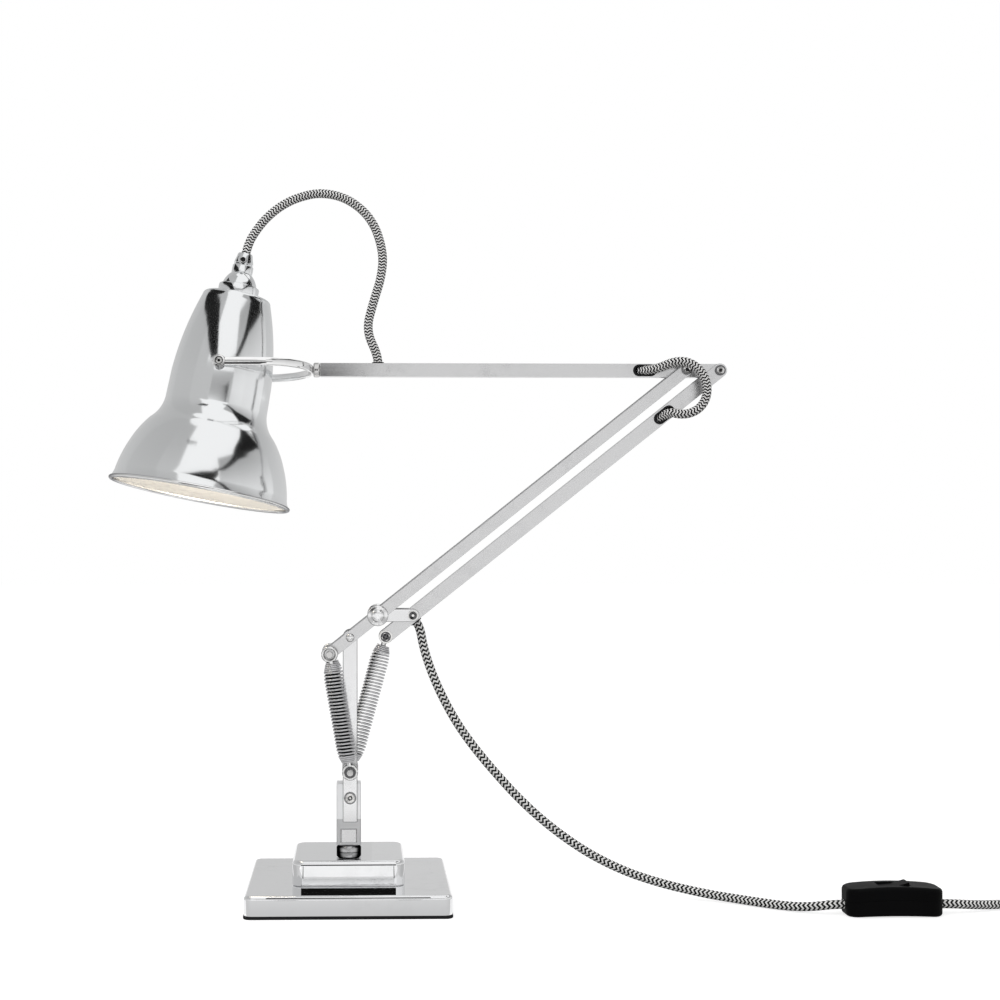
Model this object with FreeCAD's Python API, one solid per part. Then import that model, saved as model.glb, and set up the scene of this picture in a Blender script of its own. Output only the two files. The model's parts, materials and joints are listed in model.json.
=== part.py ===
import FreeCAD, Part
import math
import os

# Architect lamp: a square weighted base, a turning post, a sprung parallelogram arm and a tilting shade.
# Millimetres, +Z up, origin at the centre of the base's underside, the arms lie in the XZ plane.

V = FreeCAD.Vector
X_AXIS = V(1, 0, 0)
Y_AXIS = V(0, 1, 0)
Z_AXIS = V(0, 0, 1)

# Clearances
RUN_FIT = 0.05          # radial clearance of a pin that turns in its hole
OPEN_FIT = 0.3          # radial clearance at the linkage's open pivot
SIDE_GAP = 0.4          # gap between two parts that slide past each other
SEAT_GAP = 0.3          # gap under a part that turns on its seat

# Base
PLINTH_SIDE = 150.0
PLINTH_CORNER = 6.0
PLINTH_EDGE = 3.0
PLINTH_HEIGHT = 14.6
PLINTH_WALL = 2.5
PAD_THICK = 2.2
PAD_PROUD = 0.4
RISER_SIDE = 83.0
RISER_CORNER = 8.5
RISER_EDGE = 3.5
RISER_HEIGHT = 18.8
RISER_WALL = 3.0
WEIGHT_GAP = 0.5
RISER_SCREW_R = 2.5
RISER_SCREW_HEAD_R = 4.5
RISER_SCREW_HEAD_H = 2.0
RISER_SCREW_PITCH = 60.0
RISER_SCREW_BITE = 10.0
RISER_LUG_R = 6.0

# Post
SPINDLE_R = 5.0
BUSH_WALL = 3.0
BUSH_FLANGE_R = 12.0
BUSH_FLANGE_H = 2.0
COLLAR_R = 9.3
COLLAR_HEIGHT = 5.4
NUT_R = 8.0
NUT_H = 5.0
BLOCK_WIDTH = 18.5
BLOCK_DEPTH = 16.0
BLOCK_HEIGHT = 46.5
BLOCK_EDGE = 0.8
PANEL_WIDTH = 11.0
PANEL_HEIGHT = 9.5
PANEL_DEPTH = 0.8
PANEL_RISE = 2.0
POST_X = 1.0
POST_WIDTH = 11.0
PLATE_THICK = 2.0
POST_FOOT_Z = 58.7
CLAMP_Z = 77.0
CLAMP_R = 2.5
CLAMP_HEAD_R = 4.6
CLAMP_HEAD_H = 1.6
CLAMP_CHAMFER = 0.4
ANCHOR_Z = 97.4
ANCHOR_R = 2.4
MAIN_PIVOT_Z = 197.5

# Lower arm, link and rear bar
LOWER_ANGLE = 38.48
LOWER_LENGTH = 323.8
STRIP_WIDTH = 8.8
STRIP_THICK = 2.0
TAIL_LENGTH = 19.6
BOSS_STATION = 26.5
LINK_LENGTH = 26.4
LINK_WIDTH = 9.6
PIVOT_R = 2.6
PIVOT_HEAD_R = 3.9
PIVOT_HEAD_H = 2.0
BOSS_R = 7.8
BOSS_FLANGE_H = 2.2
BOSS_DOME_H = 2.6
REAR_HEIGHT = 10.4
REAR_DEPTH = 14.0
REAR_SIDE_WALL = 1.5
REAR_WEB_WALL = 1.2
REAR_FOOT = 26.0
SCREW_R = 2.0
SPACER_R = 4.2
FORK_CUT = 22.0
FOOT_CUT = 11.0
FOOT_HEAD_H = 0.6
LINK_HEAD_H = 1.6
EXIT_STATION = -1.0
EXIT_LEAD = 5.0
EXIT_FLEX_START = 6.0

# Upper arm
UPPER_HEIGHT = 10.0
UPPER_DEPTH = 10.0
UPPER_WALL = 1.2
UPPER_LEFT_X = -21.5
PLUG_LENGTH = 22.0
SPIGOT_R = 3.0
CAP_THICK = 2.2
UPPER_OVERHANG = 5.0

# Springs
SPRING_R = 6.4
SPRING_END_R = 4.7
WIRE_R = 0.85
TURN_RISE = 2.6
TAPER_TURNS = 3
OUTER_TURNS = 27
CENTRE_TURNS = 33
SPRING_Y = 18.6
EYE_R = 5.2
EYE_THICK = 3.0
EYE_CORE_R = 3.4
PIN_OVERHANG = 3.0

# Shade group
SHADE_X = -94.7
SHADE_TILT = 10.4
SHADE_ROLL = 4.5
PIVOT_HEIGHT = 95.5
SHADE_WALL = 1.0
RIM_R = 67.2
BEAD_R = 1.5
BELL_FOOT_SHARE = 0.9342
BELL_FOOT_Z = 6.0
BELL_BULGE = 2.6
BELL_SHOULDER_SHARE = 0.6908
BELL_SHOULDER_Z = 30.5
BELL_TURN_SHARE = 0.5362
BELL_TURN_Z = 39.7
BELL_WAIST_SHARE = 0.2961
BELL_WAIST_Z = 49.8
THROAT_SHARE = 0.0855
THROAT_Z = 57.9
NECK_R = 38.6
NECK_Z = 67.0
NECK_TOP_R = 38.0
NECK_TOP_Z = 88.5
CROWN_MID_R = 34.2
CROWN_MID_Z = 118.0
CROWN_R = 25.9
CROWN_Z = 149.6
CROWN_EDGE = 3.0
RING_R = 15.3
RING_H = 8.0
RING_EDGE = 1.0
DOME_R = 13.0
DOME_H = 9.2
DOME_BULGE = 1.6
NIPPLE_R = 8.0
GRIP_R = 7.9
GRIP_TOP_R = 5.6
GRIP_WAIST_H = 7.0
GRIP_H = 16.0
GRIP_SCREW_R = 2.4
GRIP_SCREW_H = 1.6
GRIP_SCREW_RISE = 9.6
HOLDER_R = 17.0
HOLDER_H = 44.0
BULB_CAP_R = 12.8
BULB_CAP_H = 26.0
BULB_R = 24.0
BULB_NECK = 26.0
BULB_THROAT_R = 17.2
FORK_R = 40.5
FORK_THICK = 2.0
FORK_HEIGHT = 6.2
FORK_EYE_R = 5.0
SIDE_SCREW_R = 2.5
SIDE_SCREW_HEAD_R = 4.4
SIDE_SCREW_HEAD_H = 2.2
LOCK_NUT_R = 5.6
LOCK_NUT_H = 5.0
LOCK_NUT_EDGE = 1.3
SPIGOT_HEAD_R = 4.5
SPIGOT_HEAD_H = 1.5

# Cord
CORD_R = 2.75
CORD_FIT = 0.2
GROMMET_LENGTH = 17.8
GROMMET_HEIGHT = 8.9
GROMMET_LIP = 1.0
UPPER_GROMMET_BACK = 30.5
REAR_GROMMET_BACK = 54.3
BUSH_X = 22.0
BUSH_R = 4.6
BUSH_LEAD = 6.0
GROMMET_SLANT = 42.0
GROMMET_REACH = 6.4
GROMMET_LEAD = 5.0
SWITCH_LENGTH = 70.0
SWITCH_DEPTH = 28.0
SWITCH_LOWER_H = 11.0
SWITCH_UPPER_H = 9.0
SWITCH_X = 393.5
SWITCH_Y = -68.0
SWITCH_CORD_Z = 7.4
ROCKER_LENGTH = 22.0
ROCKER_DEPTH = 13.0
ROCKER_X = 0.5
ROCKER_DROP = 3.0
ROCKER_TIP = 4.6
ROCKER_DIP = 3.6
ROCKER_GAP = 0.6
ROCKER_ANGLE = -8.0
TRUNNION_R = 1.2
TRUNNION_LENGTH = 2.0
SWITCH_CORNER = 9.0
SWITCH_EDGE = 2.5
SWITCH_WALL = 2.0
SWITCH_SCREW_X = 24.0
SWITCH_SCREW_R = 1.5
SWITCH_POST_R = 4.0
SWITCH_LEAD = 8.5
COIL_X = 540.0
COIL_Y = -10.0
COIL_TURNS = 3
COIL_OUTER_R = 41.0
COIL_STEP = 6.3
COIL_LAYER = 6.1
COIL_REVERSE = 0.5
COIL_END = 0.25
COIL_LEAD = 24.0
TAIL_LEAD = 20.0
PLUG_LEN = 30.0
PLUG_WIDTH = 26.0
PLUG_EDGE = 4.0
PLUG_NECK_R = 6.5
PLUG_PIN_R = 2.0
PLUG_PIN_LEN = 19.0
PLUG_PIN_PITCH = 19.0
RELIEF_LEN = 20.0
RELIEF_WALL = 0.8
TIE_WIDTH = 6.0
TIE_THICK = 0.8
TIE_GAP = 0.4

# Levels and places that follow from the sizes above
FLARE = RIM_R - NECK_R
BELL_FOOT_R = NECK_R + FLARE * BELL_FOOT_SHARE
BELL_SHOULDER_R = NECK_R + FLARE * BELL_SHOULDER_SHARE
BELL_TURN_R = NECK_R + FLARE * BELL_TURN_SHARE
BELL_WAIST_R = NECK_R + FLARE * BELL_WAIST_SHARE
THROAT_R = NECK_R + FLARE * THROAT_SHARE
PLINTH_Z = PAD_THICK
RISER_Z = PLINTH_Z + PLINTH_HEIGHT
COLLAR_Z = RISER_Z + RISER_HEIGHT
BLOCK_Z = COLLAR_Z + COLLAR_HEIGHT + SEAT_GAP
BLOCK_TOP_Z = BLOCK_Z + BLOCK_HEIGHT
PLATE_IN = BLOCK_DEPTH / 2
PLATE_OUT = PLATE_IN + PLATE_THICK
STRIP_IN = PLATE_OUT + SIDE_GAP
STRIP_OUT = STRIP_IN + STRIP_THICK
HEAD_IN = STRIP_OUT + SEAT_GAP
UPPER_HALF = UPPER_DEPTH / 2
REAR_HALF = REAR_DEPTH / 2
ARM_DIR = V(math.cos(math.radians(LOWER_ANGLE)), 0, math.sin(math.radians(LOWER_ANGLE)))
ARM_UP = V(-ARM_DIR.z, 0, ARM_DIR.x)
MAIN_PIVOT = V(POST_X, 0, MAIN_PIVOT_Z)
SPRING_TAIL = MAIN_PIVOT - ARM_DIR * TAIL_LENGTH
BOSS = MAIN_PIVOT + ARM_DIR * BOSS_STATION
ELBOW = MAIN_PIVOT + ARM_DIR * LOWER_LENGTH
REAR_TOP = ELBOW + X_AXIS * LINK_LENGTH
LINK_END = BOSS + X_AXIS * LINK_LENGTH
REAR_LOW = LINK_END - ARM_DIR * REAR_FOOT
UPPER_GROMMET_X = ELBOW.x - UPPER_GROMMET_BACK
REAR_GROMMET_STATION = LOWER_LENGTH - BOSS_STATION - REAR_GROMMET_BACK
ANCHOR = V(POST_X, 0, ANCHOR_Z)
ARM_Z = ELBOW.z
SHADE_PIVOT = V(SHADE_X, 0, ARM_Z)
COIL_LOW_Z = TIE_THICK + CORD_R + TIE_GAP / 2
SPRING_PIN_END = SPRING_Y + EYE_THICK / 2 + PIN_OVERHANG

# Cord routes, points chosen by hand
SHADE_ROUTE = [
    SHADE_PIVOT + step for step in (
        V(25, 9, 108), V(33, 9.3, 117.5), V(43.3, 9.3, 125.8), V(55.7, 9, 132), V(73.7, 8.2, 136),
        V(94.7, 7, 131), V(112.7, 5.6, 115), V(120.7, 4, 91), V(119.7, 2.8, 72), V(112.7, 1.4, 50),
        V(107.7, 0.6, 30),
    )
]
ELBOW_ROUTE = [
    ELBOW + step for step in (
        V(-20.5, -12.5, 1.5), V(-9.5, -18, 6), V(1.5, -20, 5), V(11.5, -21, -4), V(14.5, -21, -17),
        V(10.5, -20, -28), V(2, -18.5, -33.5), V(-6.5, -15.5, -34),
    )
]
MAINS_ROUTE = [
    V(56, -1, 191), V(61.5, -2, 173), V(70.5, -3, 152), V(84, -4, 128), V(104, -5, 102),
    V(136, -6, 67), V(172, -7, 39), V(204, -8, 22), V(235, -9, 11.5), V(268, -18, 5.2), V(290, -31.5, 3.4),
    V(308, -46, 3), V(320, -55, 3.2), V(330.5, -61.5, 4.1), V(341, -66, 5.8),
]
TAIL_ROUTE = [
    V(450, -65, 6.1), V(465, -59.5, 4.6), V(482, -54.2, 3.9), V(499, -51.6, 3.8),
]


def box(x0, x1, y0, y1, z0, z1):
    """Axis-aligned block between two corners."""
    return Part.makeBox(x1 - x0, y1 - y0, z1 - z0, V(x0, y0, z0))


def pin(centre, radius, y0, y1):
    """Round pin along Y through a point of the arm plane."""
    return Part.makeCylinder(radius, y1 - y0, V(centre.x, y0, centre.z), Y_AXIS)


def rod(start, end, radius):
    """Round rod between two points."""
    return Part.makeCylinder(radius, (end - start).Length, start, end - start)


def both_sides(shape):
    """A solid and its mirror image across the arm plane."""
    return [shape, shape.mirror(V(0, 0, 0), Y_AXIS)]


def slab(side, corner, z0, z1):
    """Square slab with rounded upright corners."""
    block = box(-side / 2, side / 2, -side / 2, side / 2, z0, z1)
    upright = [e for e in block.Edges if abs(e.tangentAt(e.FirstParameter).z) > 0.99]
    return block.makeFillet(corner, upright)


def top_edges(shape, level):
    """Edges of a shape that lie wholly at one height."""
    return [e for e in shape.Edges if abs(e.BoundBox.ZMin - level) + abs(e.BoundBox.ZMax - level) < 1e-6]


def stadium(start, end, half_width, y0, y1):
    """Flat bar with two round ends, in the arm plane, between two Y levels."""
    along = (end - start).normalize()
    side = V(-along.z, 0, along.x) * half_width
    shift = V(0, y0, 0)
    a, b = start + side + shift, end + side + shift
    c, d = end - side + shift, start - side + shift
    edges = [
        Part.LineSegment(a, b).toShape(),
        Part.Arc(b, end + along * half_width + shift, c).toShape(),
        Part.LineSegment(c, d).toShape(),
        Part.Arc(d, start - along * half_width + shift, a).toShape(),
    ]
    return Part.Face(Part.Wire(edges)).extrude(Y_AXIS * (y1 - y0))


def oval_y(centre, along, length, height, y0, y1):
    """Oval block through the arm plane, long side along a direction."""
    half = along * ((length - height) / 2)
    return stadium(centre - half, centre + half, height / 2, y0, y1)


def bar(start, angle, length, height, depth):
    """Rectangular bar of a length, on an axis that rises at an angle in the arm plane."""
    block = Part.makeBox(length, depth, height, V(0, -depth / 2, -height / 2))
    block.Placement = FreeCAD.Placement(start, FreeCAD.Rotation(Y_AXIS, -angle))
    return block


def revolve_profile(edges):
    """Solid of revolution about Z from a closed chain of edges in the XZ plane."""
    return Part.Face(Part.Wire(edges)).revolve(V(0, 0, 0), Z_AXIS, 360)


def arc_from(start, corner, end):
    """Arc between two points of equal distance from the corner where its end tangents meet."""
    middle = (start + end) * 0.5
    half = (end - start).Length / 2
    leg = (corner - start).Length
    lean = math.acos(min(1.0, half / leg))
    rise = half * math.tan(lean / 2)
    return Part.Arc(start, middle + (corner - middle).normalize() * rise, end).toShape()


def biarc(start, leave, end, arrive):
    """Two tangent arcs from one point and direction to another."""
    span = end - start
    both = leave + arrive
    square = 2 * (1 - leave.dot(arrive))
    linear = 2 * span.dot(both)
    reach = (-linear + math.sqrt(linear ** 2 + 4 * square * span.dot(span))) / (2 * square)
    joint = (start + end + (leave - arrive) * reach) * 0.5
    return [arc_from(start, start + leave * reach, joint), arc_from(joint, end - arrive * reach, end)]


def pipe(edges, radius):
    """Round tube along a chain of edges."""
    path = Part.Wire(edges)
    first = edges[0]
    tangent = first.tangentAt(first.FirstParameter)
    start = first.valueAt(first.FirstParameter)
    ring = Part.Wire([Part.Circle(start, tangent, radius).toShape()])
    return path.makePipeShell([ring], True, False)


def cord_tube(name, points):
    """Cord along straight runs joined by arcs as large as the runs allow."""
    edges = []
    radii = []
    at = points[0]
    for before, corner, after in zip(points, points[1:], points[2:]):
        back = (before - corner).normalize()
        ahead = (after - corner).normalize()
        cut = 0.45 * min((before - corner).Length, (after - corner).Length)
        turn = math.pi - back.getAngle(ahead)
        radii.append(cut / math.tan(turn / 2))
        edges.append(Part.LineSegment(at, corner + back * cut).toShape())
        edges.append(arc_from(corner + back * cut, corner, corner + ahead * cut))
        at = corner + ahead * cut
    edges.append(Part.LineSegment(at, points[-1]).toShape())
    tube = pipe(edges, CORD_R)
    length = sum(e.Length for e in edges)
    share = tube.Volume / (math.pi * CORD_R ** 2 * length)
    print(name, "length", round(length, 1), "volume share", round(share, 4), "radii", [round(r) for r in radii])
    return tube


def wound(name, place, steps, radius, lead_in=0.0, lead_out=0.0):
    """Unbroken wound tube: place(turns) gives its centre line, one biarc per step of a half or quarter turn."""
    small = 1e-4

    def heading(t):
        return (place(t + small) - place(t - small)).normalize()

    edges = []
    if lead_in:
        first = place(steps[0])
        edges.append(Part.LineSegment(first - heading(steps[0]) * lead_in, first).toShape())
    for t0, t1 in zip(steps, steps[1:]):
        edges += biarc(place(t0), heading(t0), place(t1), heading(t1))
    if lead_out:
        final = place(steps[-1])
        edges.append(Part.LineSegment(final, final + heading(steps[-1]) * lead_out).toShape())
    print(name, "least self gap", round(self_gap(place, steps, radius), 2))
    return pipe(edges, radius)


def self_gap(place, steps, radius):
    """Least gap of a wound tube to itself, measured on points of its centre line."""
    per_turn = 48
    count = int((steps[-1] - steps[0]) * per_turn)
    points = [place(steps[0] + i / per_turn) for i in range(count + 1)]
    least = None
    for i, here in enumerate(points):
        for there in points[i + per_turn // 2:]:
            gap = (here - there).Length
            if least is None or gap < least:
                least = gap
    return least - 2 * radius


def half_turns(turns):
    """Half-turn stations from zero to a count of turns."""
    return [i / 2 for i in range(int(turns * 2) + 1)]


def make_base():
    """Weighted base: pad, plinth, riser, inner weight and their fasteners."""
    pad = slab(PLINTH_SIDE + 2 * PAD_PROUD, PLINTH_CORNER + PAD_PROUD, 0, PAD_THICK)
    plinth = slab(PLINTH_SIDE, PLINTH_CORNER, PLINTH_Z, RISER_Z)
    plinth = plinth.makeFillet(PLINTH_EDGE, top_edges(plinth, RISER_Z))
    room = PLINTH_SIDE - 2 * PLINTH_WALL
    plinth = plinth.cut(slab(room, PLINTH_CORNER - PLINTH_WALL, PLINTH_Z, RISER_Z - PLINTH_WALL))
    weight = slab(room - 2 * WEIGHT_GAP, PLINTH_CORNER - PLINTH_WALL, PLINTH_Z, RISER_Z - PLINTH_WALL)
    riser = slab(RISER_SIDE, RISER_CORNER, RISER_Z, COLLAR_Z)
    riser = riser.makeFillet(RISER_EDGE, top_edges(riser, COLLAR_Z))
    inside = RISER_SIDE - 2 * RISER_WALL
    hollow = slab(inside, RISER_CORNER - RISER_WALL, RISER_Z, COLLAR_Z - RISER_WALL)
    screws = []
    half = RISER_SCREW_PITCH / 2
    under = RISER_Z - PLINTH_WALL
    for x in (-half, half):
        for y in (-half, half):
            foot = V(x, y, under - RISER_SCREW_HEAD_H)
            head = rod(foot, V(x, y, under), RISER_SCREW_HEAD_R)
            shank = rod(foot, V(x, y, under + RISER_SCREW_BITE), RISER_SCREW_R)
            screws.append(head.fuse(shank).removeSplitter())
            hollow = hollow.cut(rod(V(x, y, RISER_Z), V(x, y, COLLAR_Z), RISER_LUG_R))
            recess_z = under - RISER_SCREW_HEAD_H - WEIGHT_GAP
            recess = rod(V(x, y, recess_z), V(x, y, under), RISER_SCREW_HEAD_R + WEIGHT_GAP)
            weight = weight.cut(recess)
    riser = riser.cut(hollow)
    for screw in screws:
        plinth = plinth.cut(screw)
        riser = riser.cut(screw)
    bush_r = SPINDLE_R + BUSH_WALL
    flange_z = COLLAR_Z - RISER_WALL - BUSH_FLANGE_H
    flange = rod(V(0, 0, flange_z), V(0, 0, flange_z + BUSH_FLANGE_H), BUSH_FLANGE_R)
    sleeve = rod(V(0, 0, flange_z), V(0, 0, COLLAR_Z + COLLAR_HEIGHT), bush_r)
    bore = rod(V(0, 0, flange_z), V(0, 0, COLLAR_Z + COLLAR_HEIGHT), SPINDLE_R + RUN_FIT)
    bush = flange.fuse(sleeve).cut(bore).removeSplitter()
    well = rod(V(0, 0, COLLAR_Z - RISER_WALL), V(0, 0, COLLAR_Z + COLLAR_HEIGHT), bush_r)
    riser = riser.cut(well)
    collar = rod(V(0, 0, COLLAR_Z), V(0, 0, COLLAR_Z + COLLAR_HEIGHT), COLLAR_R).cut(well)
    return {
        "base_pad": [pad],
        "base_plinth": [plinth],
        "base_weight": [weight],
        "base_riser": [riser],
        "riser_screws": screws,
        "spindle_bush": [bush],
        "spindle_collar": [collar],
    }


def make_post():
    """Turning post: spindle, block, plates, bolts and pins."""
    nut_top = COLLAR_Z - RISER_WALL - BUSH_FLANGE_H - SEAT_GAP
    nut_z = nut_top - NUT_H
    spindle = rod(V(0, 0, nut_z), V(0, 0, BLOCK_Z + BLOCK_HEIGHT / 2), SPINDLE_R)
    corners = [math.radians(a) for a in range(0, 361, 60)]
    hexagon = Part.makePolygon([V(NUT_R * math.cos(a), NUT_R * math.sin(a), nut_z) for a in corners])
    nut = Part.Face(hexagon).extrude(Z_AXIS * NUT_H).cut(spindle)
    block = box(-BLOCK_WIDTH / 2, BLOCK_WIDTH / 2, -PLATE_IN, PLATE_IN, BLOCK_Z, BLOCK_TOP_Z)
    upright = [e for e in block.Edges if abs(e.tangentAt(e.FirstParameter).z) > 0.99]
    block = block.makeFillet(BLOCK_EDGE, upright)
    block = block.cut(spindle)
    panel_z = BLOCK_Z + PANEL_RISE
    for y0, y1 in ((-PLATE_IN, PANEL_DEPTH - PLATE_IN), (PLATE_IN - PANEL_DEPTH, PLATE_IN)):
        block = block.cut(box(-PANEL_WIDTH / 2, PANEL_WIDTH / 2, y0, y1, panel_z, panel_z + PANEL_HEIGHT))
    clamp = V(POST_X, 0, CLAMP_Z)
    shank = pin(clamp, CLAMP_R, -PLATE_OUT, PLATE_OUT)
    bolt = shank
    for head in both_sides(pin(clamp, CLAMP_HEAD_R, PLATE_OUT, PLATE_OUT + CLAMP_HEAD_H)):
        edge = [e for e in head.Edges if abs(abs(e.CenterOfMass.y) - PLATE_OUT - CLAMP_HEAD_H) < 1e-6]
        bolt = bolt.fuse(head.makeChamfer(CLAMP_CHAMFER, edge))
    bolt = bolt.removeSplitter()
    block = block.cut(bolt)
    anchor = pin(ANCHOR, ANCHOR_R, -SPRING_PIN_END, SPRING_PIN_END)
    main_pin = pin(MAIN_PIVOT, PIVOT_R, -HEAD_IN, HEAD_IN)
    for head in both_sides(pin(MAIN_PIVOT, PIVOT_HEAD_R, HEAD_IN, HEAD_IN + PIVOT_HEAD_H)):
        main_pin = main_pin.fuse(head)
    main_pin = main_pin.removeSplitter()
    foot = V(POST_X, 0, POST_FOOT_Z)
    plate = stadium(foot + Z_AXIS * (POST_WIDTH / 2), MAIN_PIVOT, POST_WIDTH / 2, PLATE_IN, PLATE_OUT)
    half = POST_WIDTH / 2
    square_foot = box(POST_X - half, POST_X + half, PLATE_IN, PLATE_OUT, POST_FOOT_Z, CLAMP_Z)
    plate = plate.fuse(square_foot).removeSplitter()
    plates = [p.cut(bolt).cut(anchor).cut(main_pin) for p in both_sides(plate)]
    return {
        "spindle": [spindle],
        "spindle_nut": [nut],
        "swivel_block": [block],
        "post_plates": plates,
        "clamp_bolt": [bolt],
        "anchor_pin": [anchor],
        "main_pivot_pin": [main_pin],
    }


def dome_cap(centre, radius, flange, rise, seat):
    """Round boss with a domed face, on the +Y side of a strip."""
    sphere_r = (radius ** 2 + rise ** 2) / (2 * rise)
    top = seat + flange + rise
    ball = Part.makeSphere(sphere_r, V(centre.x, top - sphere_r, centre.z))
    return pin(centre, radius, seat, top).common(ball)


def make_lower_arm():
    """Pair of flat strips with the pins that they carry."""
    tails = both_sides(pin(SPRING_TAIL, ANCHOR_R, STRIP_IN, SPRING_PIN_END))
    boss_pin = pin(BOSS, PIVOT_R, -STRIP_OUT, STRIP_OUT)
    caps = both_sides(dome_cap(BOSS, BOSS_R, BOSS_FLANGE_H, BOSS_DOME_H, STRIP_OUT))
    sleeve = pin(BOSS, SPACER_R, SEAT_GAP - PLATE_IN, PLATE_IN - SEAT_GAP).cut(boss_pin)
    elbow_pin = pin(ELBOW, PIVOT_R, -STRIP_OUT, STRIP_OUT)
    for head in both_sides(pin(ELBOW, PIVOT_HEAD_R, STRIP_OUT, STRIP_OUT + PIVOT_HEAD_H)):
        elbow_pin = elbow_pin.fuse(head)
    elbow_pin = elbow_pin.removeSplitter()
    spacer = pin(ELBOW, SPACER_R, UPPER_HALF + SEAT_GAP, STRIP_IN).cut(elbow_pin)
    strip = stadium(SPRING_TAIL, ELBOW, STRIP_WIDTH / 2, STRIP_IN, STRIP_OUT)
    strip = strip.cut(pin(MAIN_PIVOT, PIVOT_R + RUN_FIT, STRIP_IN, STRIP_OUT))
    strips = [s.cut(boss_pin).cut(elbow_pin).cut(tails[0]).cut(tails[1]) for s in both_sides(strip)]
    return {
        "lower_strips": strips,
        "spring_tail_pins": tails,
        "boss_caps": caps,
        "arm_pins": [boss_pin, elbow_pin],
        "arm_spacers": [sleeve] + both_sides(spacer),
    }


def make_link():
    """Pair of short plates that keep the two long bars parallel."""
    plate = stadium(BOSS, LINK_END, LINK_WIDTH / 2, PLATE_IN, PLATE_OUT)
    plate = plate.cut(pin(BOSS, PIVOT_R + RUN_FIT, PLATE_IN, PLATE_OUT))
    plate = plate.cut(pin(LINK_END, SCREW_R + OPEN_FIT, PLATE_IN, PLATE_OUT))
    return {"link_plates": both_sides(plate)}


def make_rear_bar():
    """Thick square bar with its cheeks, spring pin, link screws and grommet."""
    cavity_depth = REAR_DEPTH - 2 * REAR_SIDE_WALL
    cavity_half = cavity_depth / 2
    cavity_height = REAR_HEIGHT - 2 * REAR_WEB_WALL
    length = (REAR_TOP - REAR_LOW).Length
    tube = stadium(REAR_LOW, REAR_TOP, REAR_HEIGHT / 2, -REAR_HALF, REAR_HALF)
    tube = tube.cut(bar(REAR_LOW - ARM_DIR * REAR_HEIGHT, LOWER_ANGLE, length + 2 * REAR_HEIGHT,
                        cavity_height, cavity_depth))
    for end, cut in ((REAR_TOP, FORK_CUT), (REAR_LOW, FOOT_CUT)):
        tube = tube.cut(bar(end - ARM_DIR * cut, LOWER_ANGLE, 2 * cut, 2 * REAR_HEIGHT, cavity_depth))
    tube = tube.cut(pin(REAR_TOP, PIVOT_R + RUN_FIT, -REAR_HALF, REAR_HALF))
    foot_pin = pin(REAR_LOW, ANCHOR_R, -REAR_HALF, REAR_HALF)
    for head in both_sides(pin(REAR_LOW, PIVOT_HEAD_R, REAR_HALF, REAR_HALF + FOOT_HEAD_H)):
        foot_pin = foot_pin.fuse(head)
    foot_pin = foot_pin.removeSplitter()
    shank = pin(LINK_END, SCREW_R, cavity_half, PLATE_OUT + SEAT_GAP)
    head = pin(LINK_END, PIVOT_HEAD_R, PLATE_OUT + SEAT_GAP, PLATE_OUT + SEAT_GAP + LINK_HEAD_H)
    screws = both_sides(shank.fuse(head).removeSplitter())
    centre = LINK_END + ARM_DIR * REAR_GROMMET_STATION
    grommet, hole = oval_grommet(centre, ARM_DIR, REAR_HALF, REAR_SIDE_WALL)
    exit_ring, exit_hole = cord_exit()
    tube = tube.cut(foot_pin).cut(screws[0]).cut(screws[1]).cut(hole).cut(exit_hole)
    sag = ARM_UP * (cavity_height / 2 - CORD_R - SEAT_GAP)
    flex = rod(LINK_END + ARM_DIR * EXIT_FLEX_START - sag, centre - ARM_DIR * GROMMET_LENGTH - sag, CORD_R)
    return {
        "rear_tube": [tube],
        "rear_spring_pin": [foot_pin],
        "link_screws": screws,
        "rear_grommets": [grommet, exit_ring],
        "rear_flex": [flex],
    }


def oval_grommet(centre, along, face, wall):
    """Oval grommet in the front wall of a tube, and the hole that it fills."""
    lip = oval_y(centre, along, GROMMET_LENGTH, GROMMET_HEIGHT, -face - GROMMET_LIP, -face)
    neck_length = GROMMET_LENGTH - 2 * GROMMET_LIP
    neck_height = GROMMET_HEIGHT - 2 * GROMMET_LIP
    neck = oval_y(centre, along, neck_length, neck_height, -face, wall - face)
    bore_height = 2 * (CORD_R + CORD_FIT)
    bore_length = bore_height + neck_length - neck_height
    bore = oval_y(centre, along, bore_length, bore_height, -face - GROMMET_LIP, wall - face)
    return lip.fuse(neck).cut(bore).removeSplitter(), neck


def cord_exit():
    """Round grommet under the rear bar where the cord comes out, and the hole that it fills."""
    surface = LINK_END + ARM_DIR * EXIT_STATION - ARM_UP * (REAR_HEIGHT / 2)
    lip = rod(surface, surface - ARM_UP * GROMMET_LIP, BUSH_R)
    neck = rod(surface, surface + ARM_UP * REAR_WEB_WALL, BUSH_R - GROMMET_LIP)
    bore = rod(surface - ARM_UP * BUSH_R, surface + ARM_UP * BUSH_R, CORD_R + CORD_FIT)
    return lip.fuse(neck).cut(bore).removeSplitter(), neck


def exit_mouth(depth):
    """Point on the axis of the cord's exit, a depth below the bar's underside."""
    return LINK_END + ARM_DIR * EXIT_STATION - ARM_UP * (REAR_HEIGHT / 2 + depth)


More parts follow.
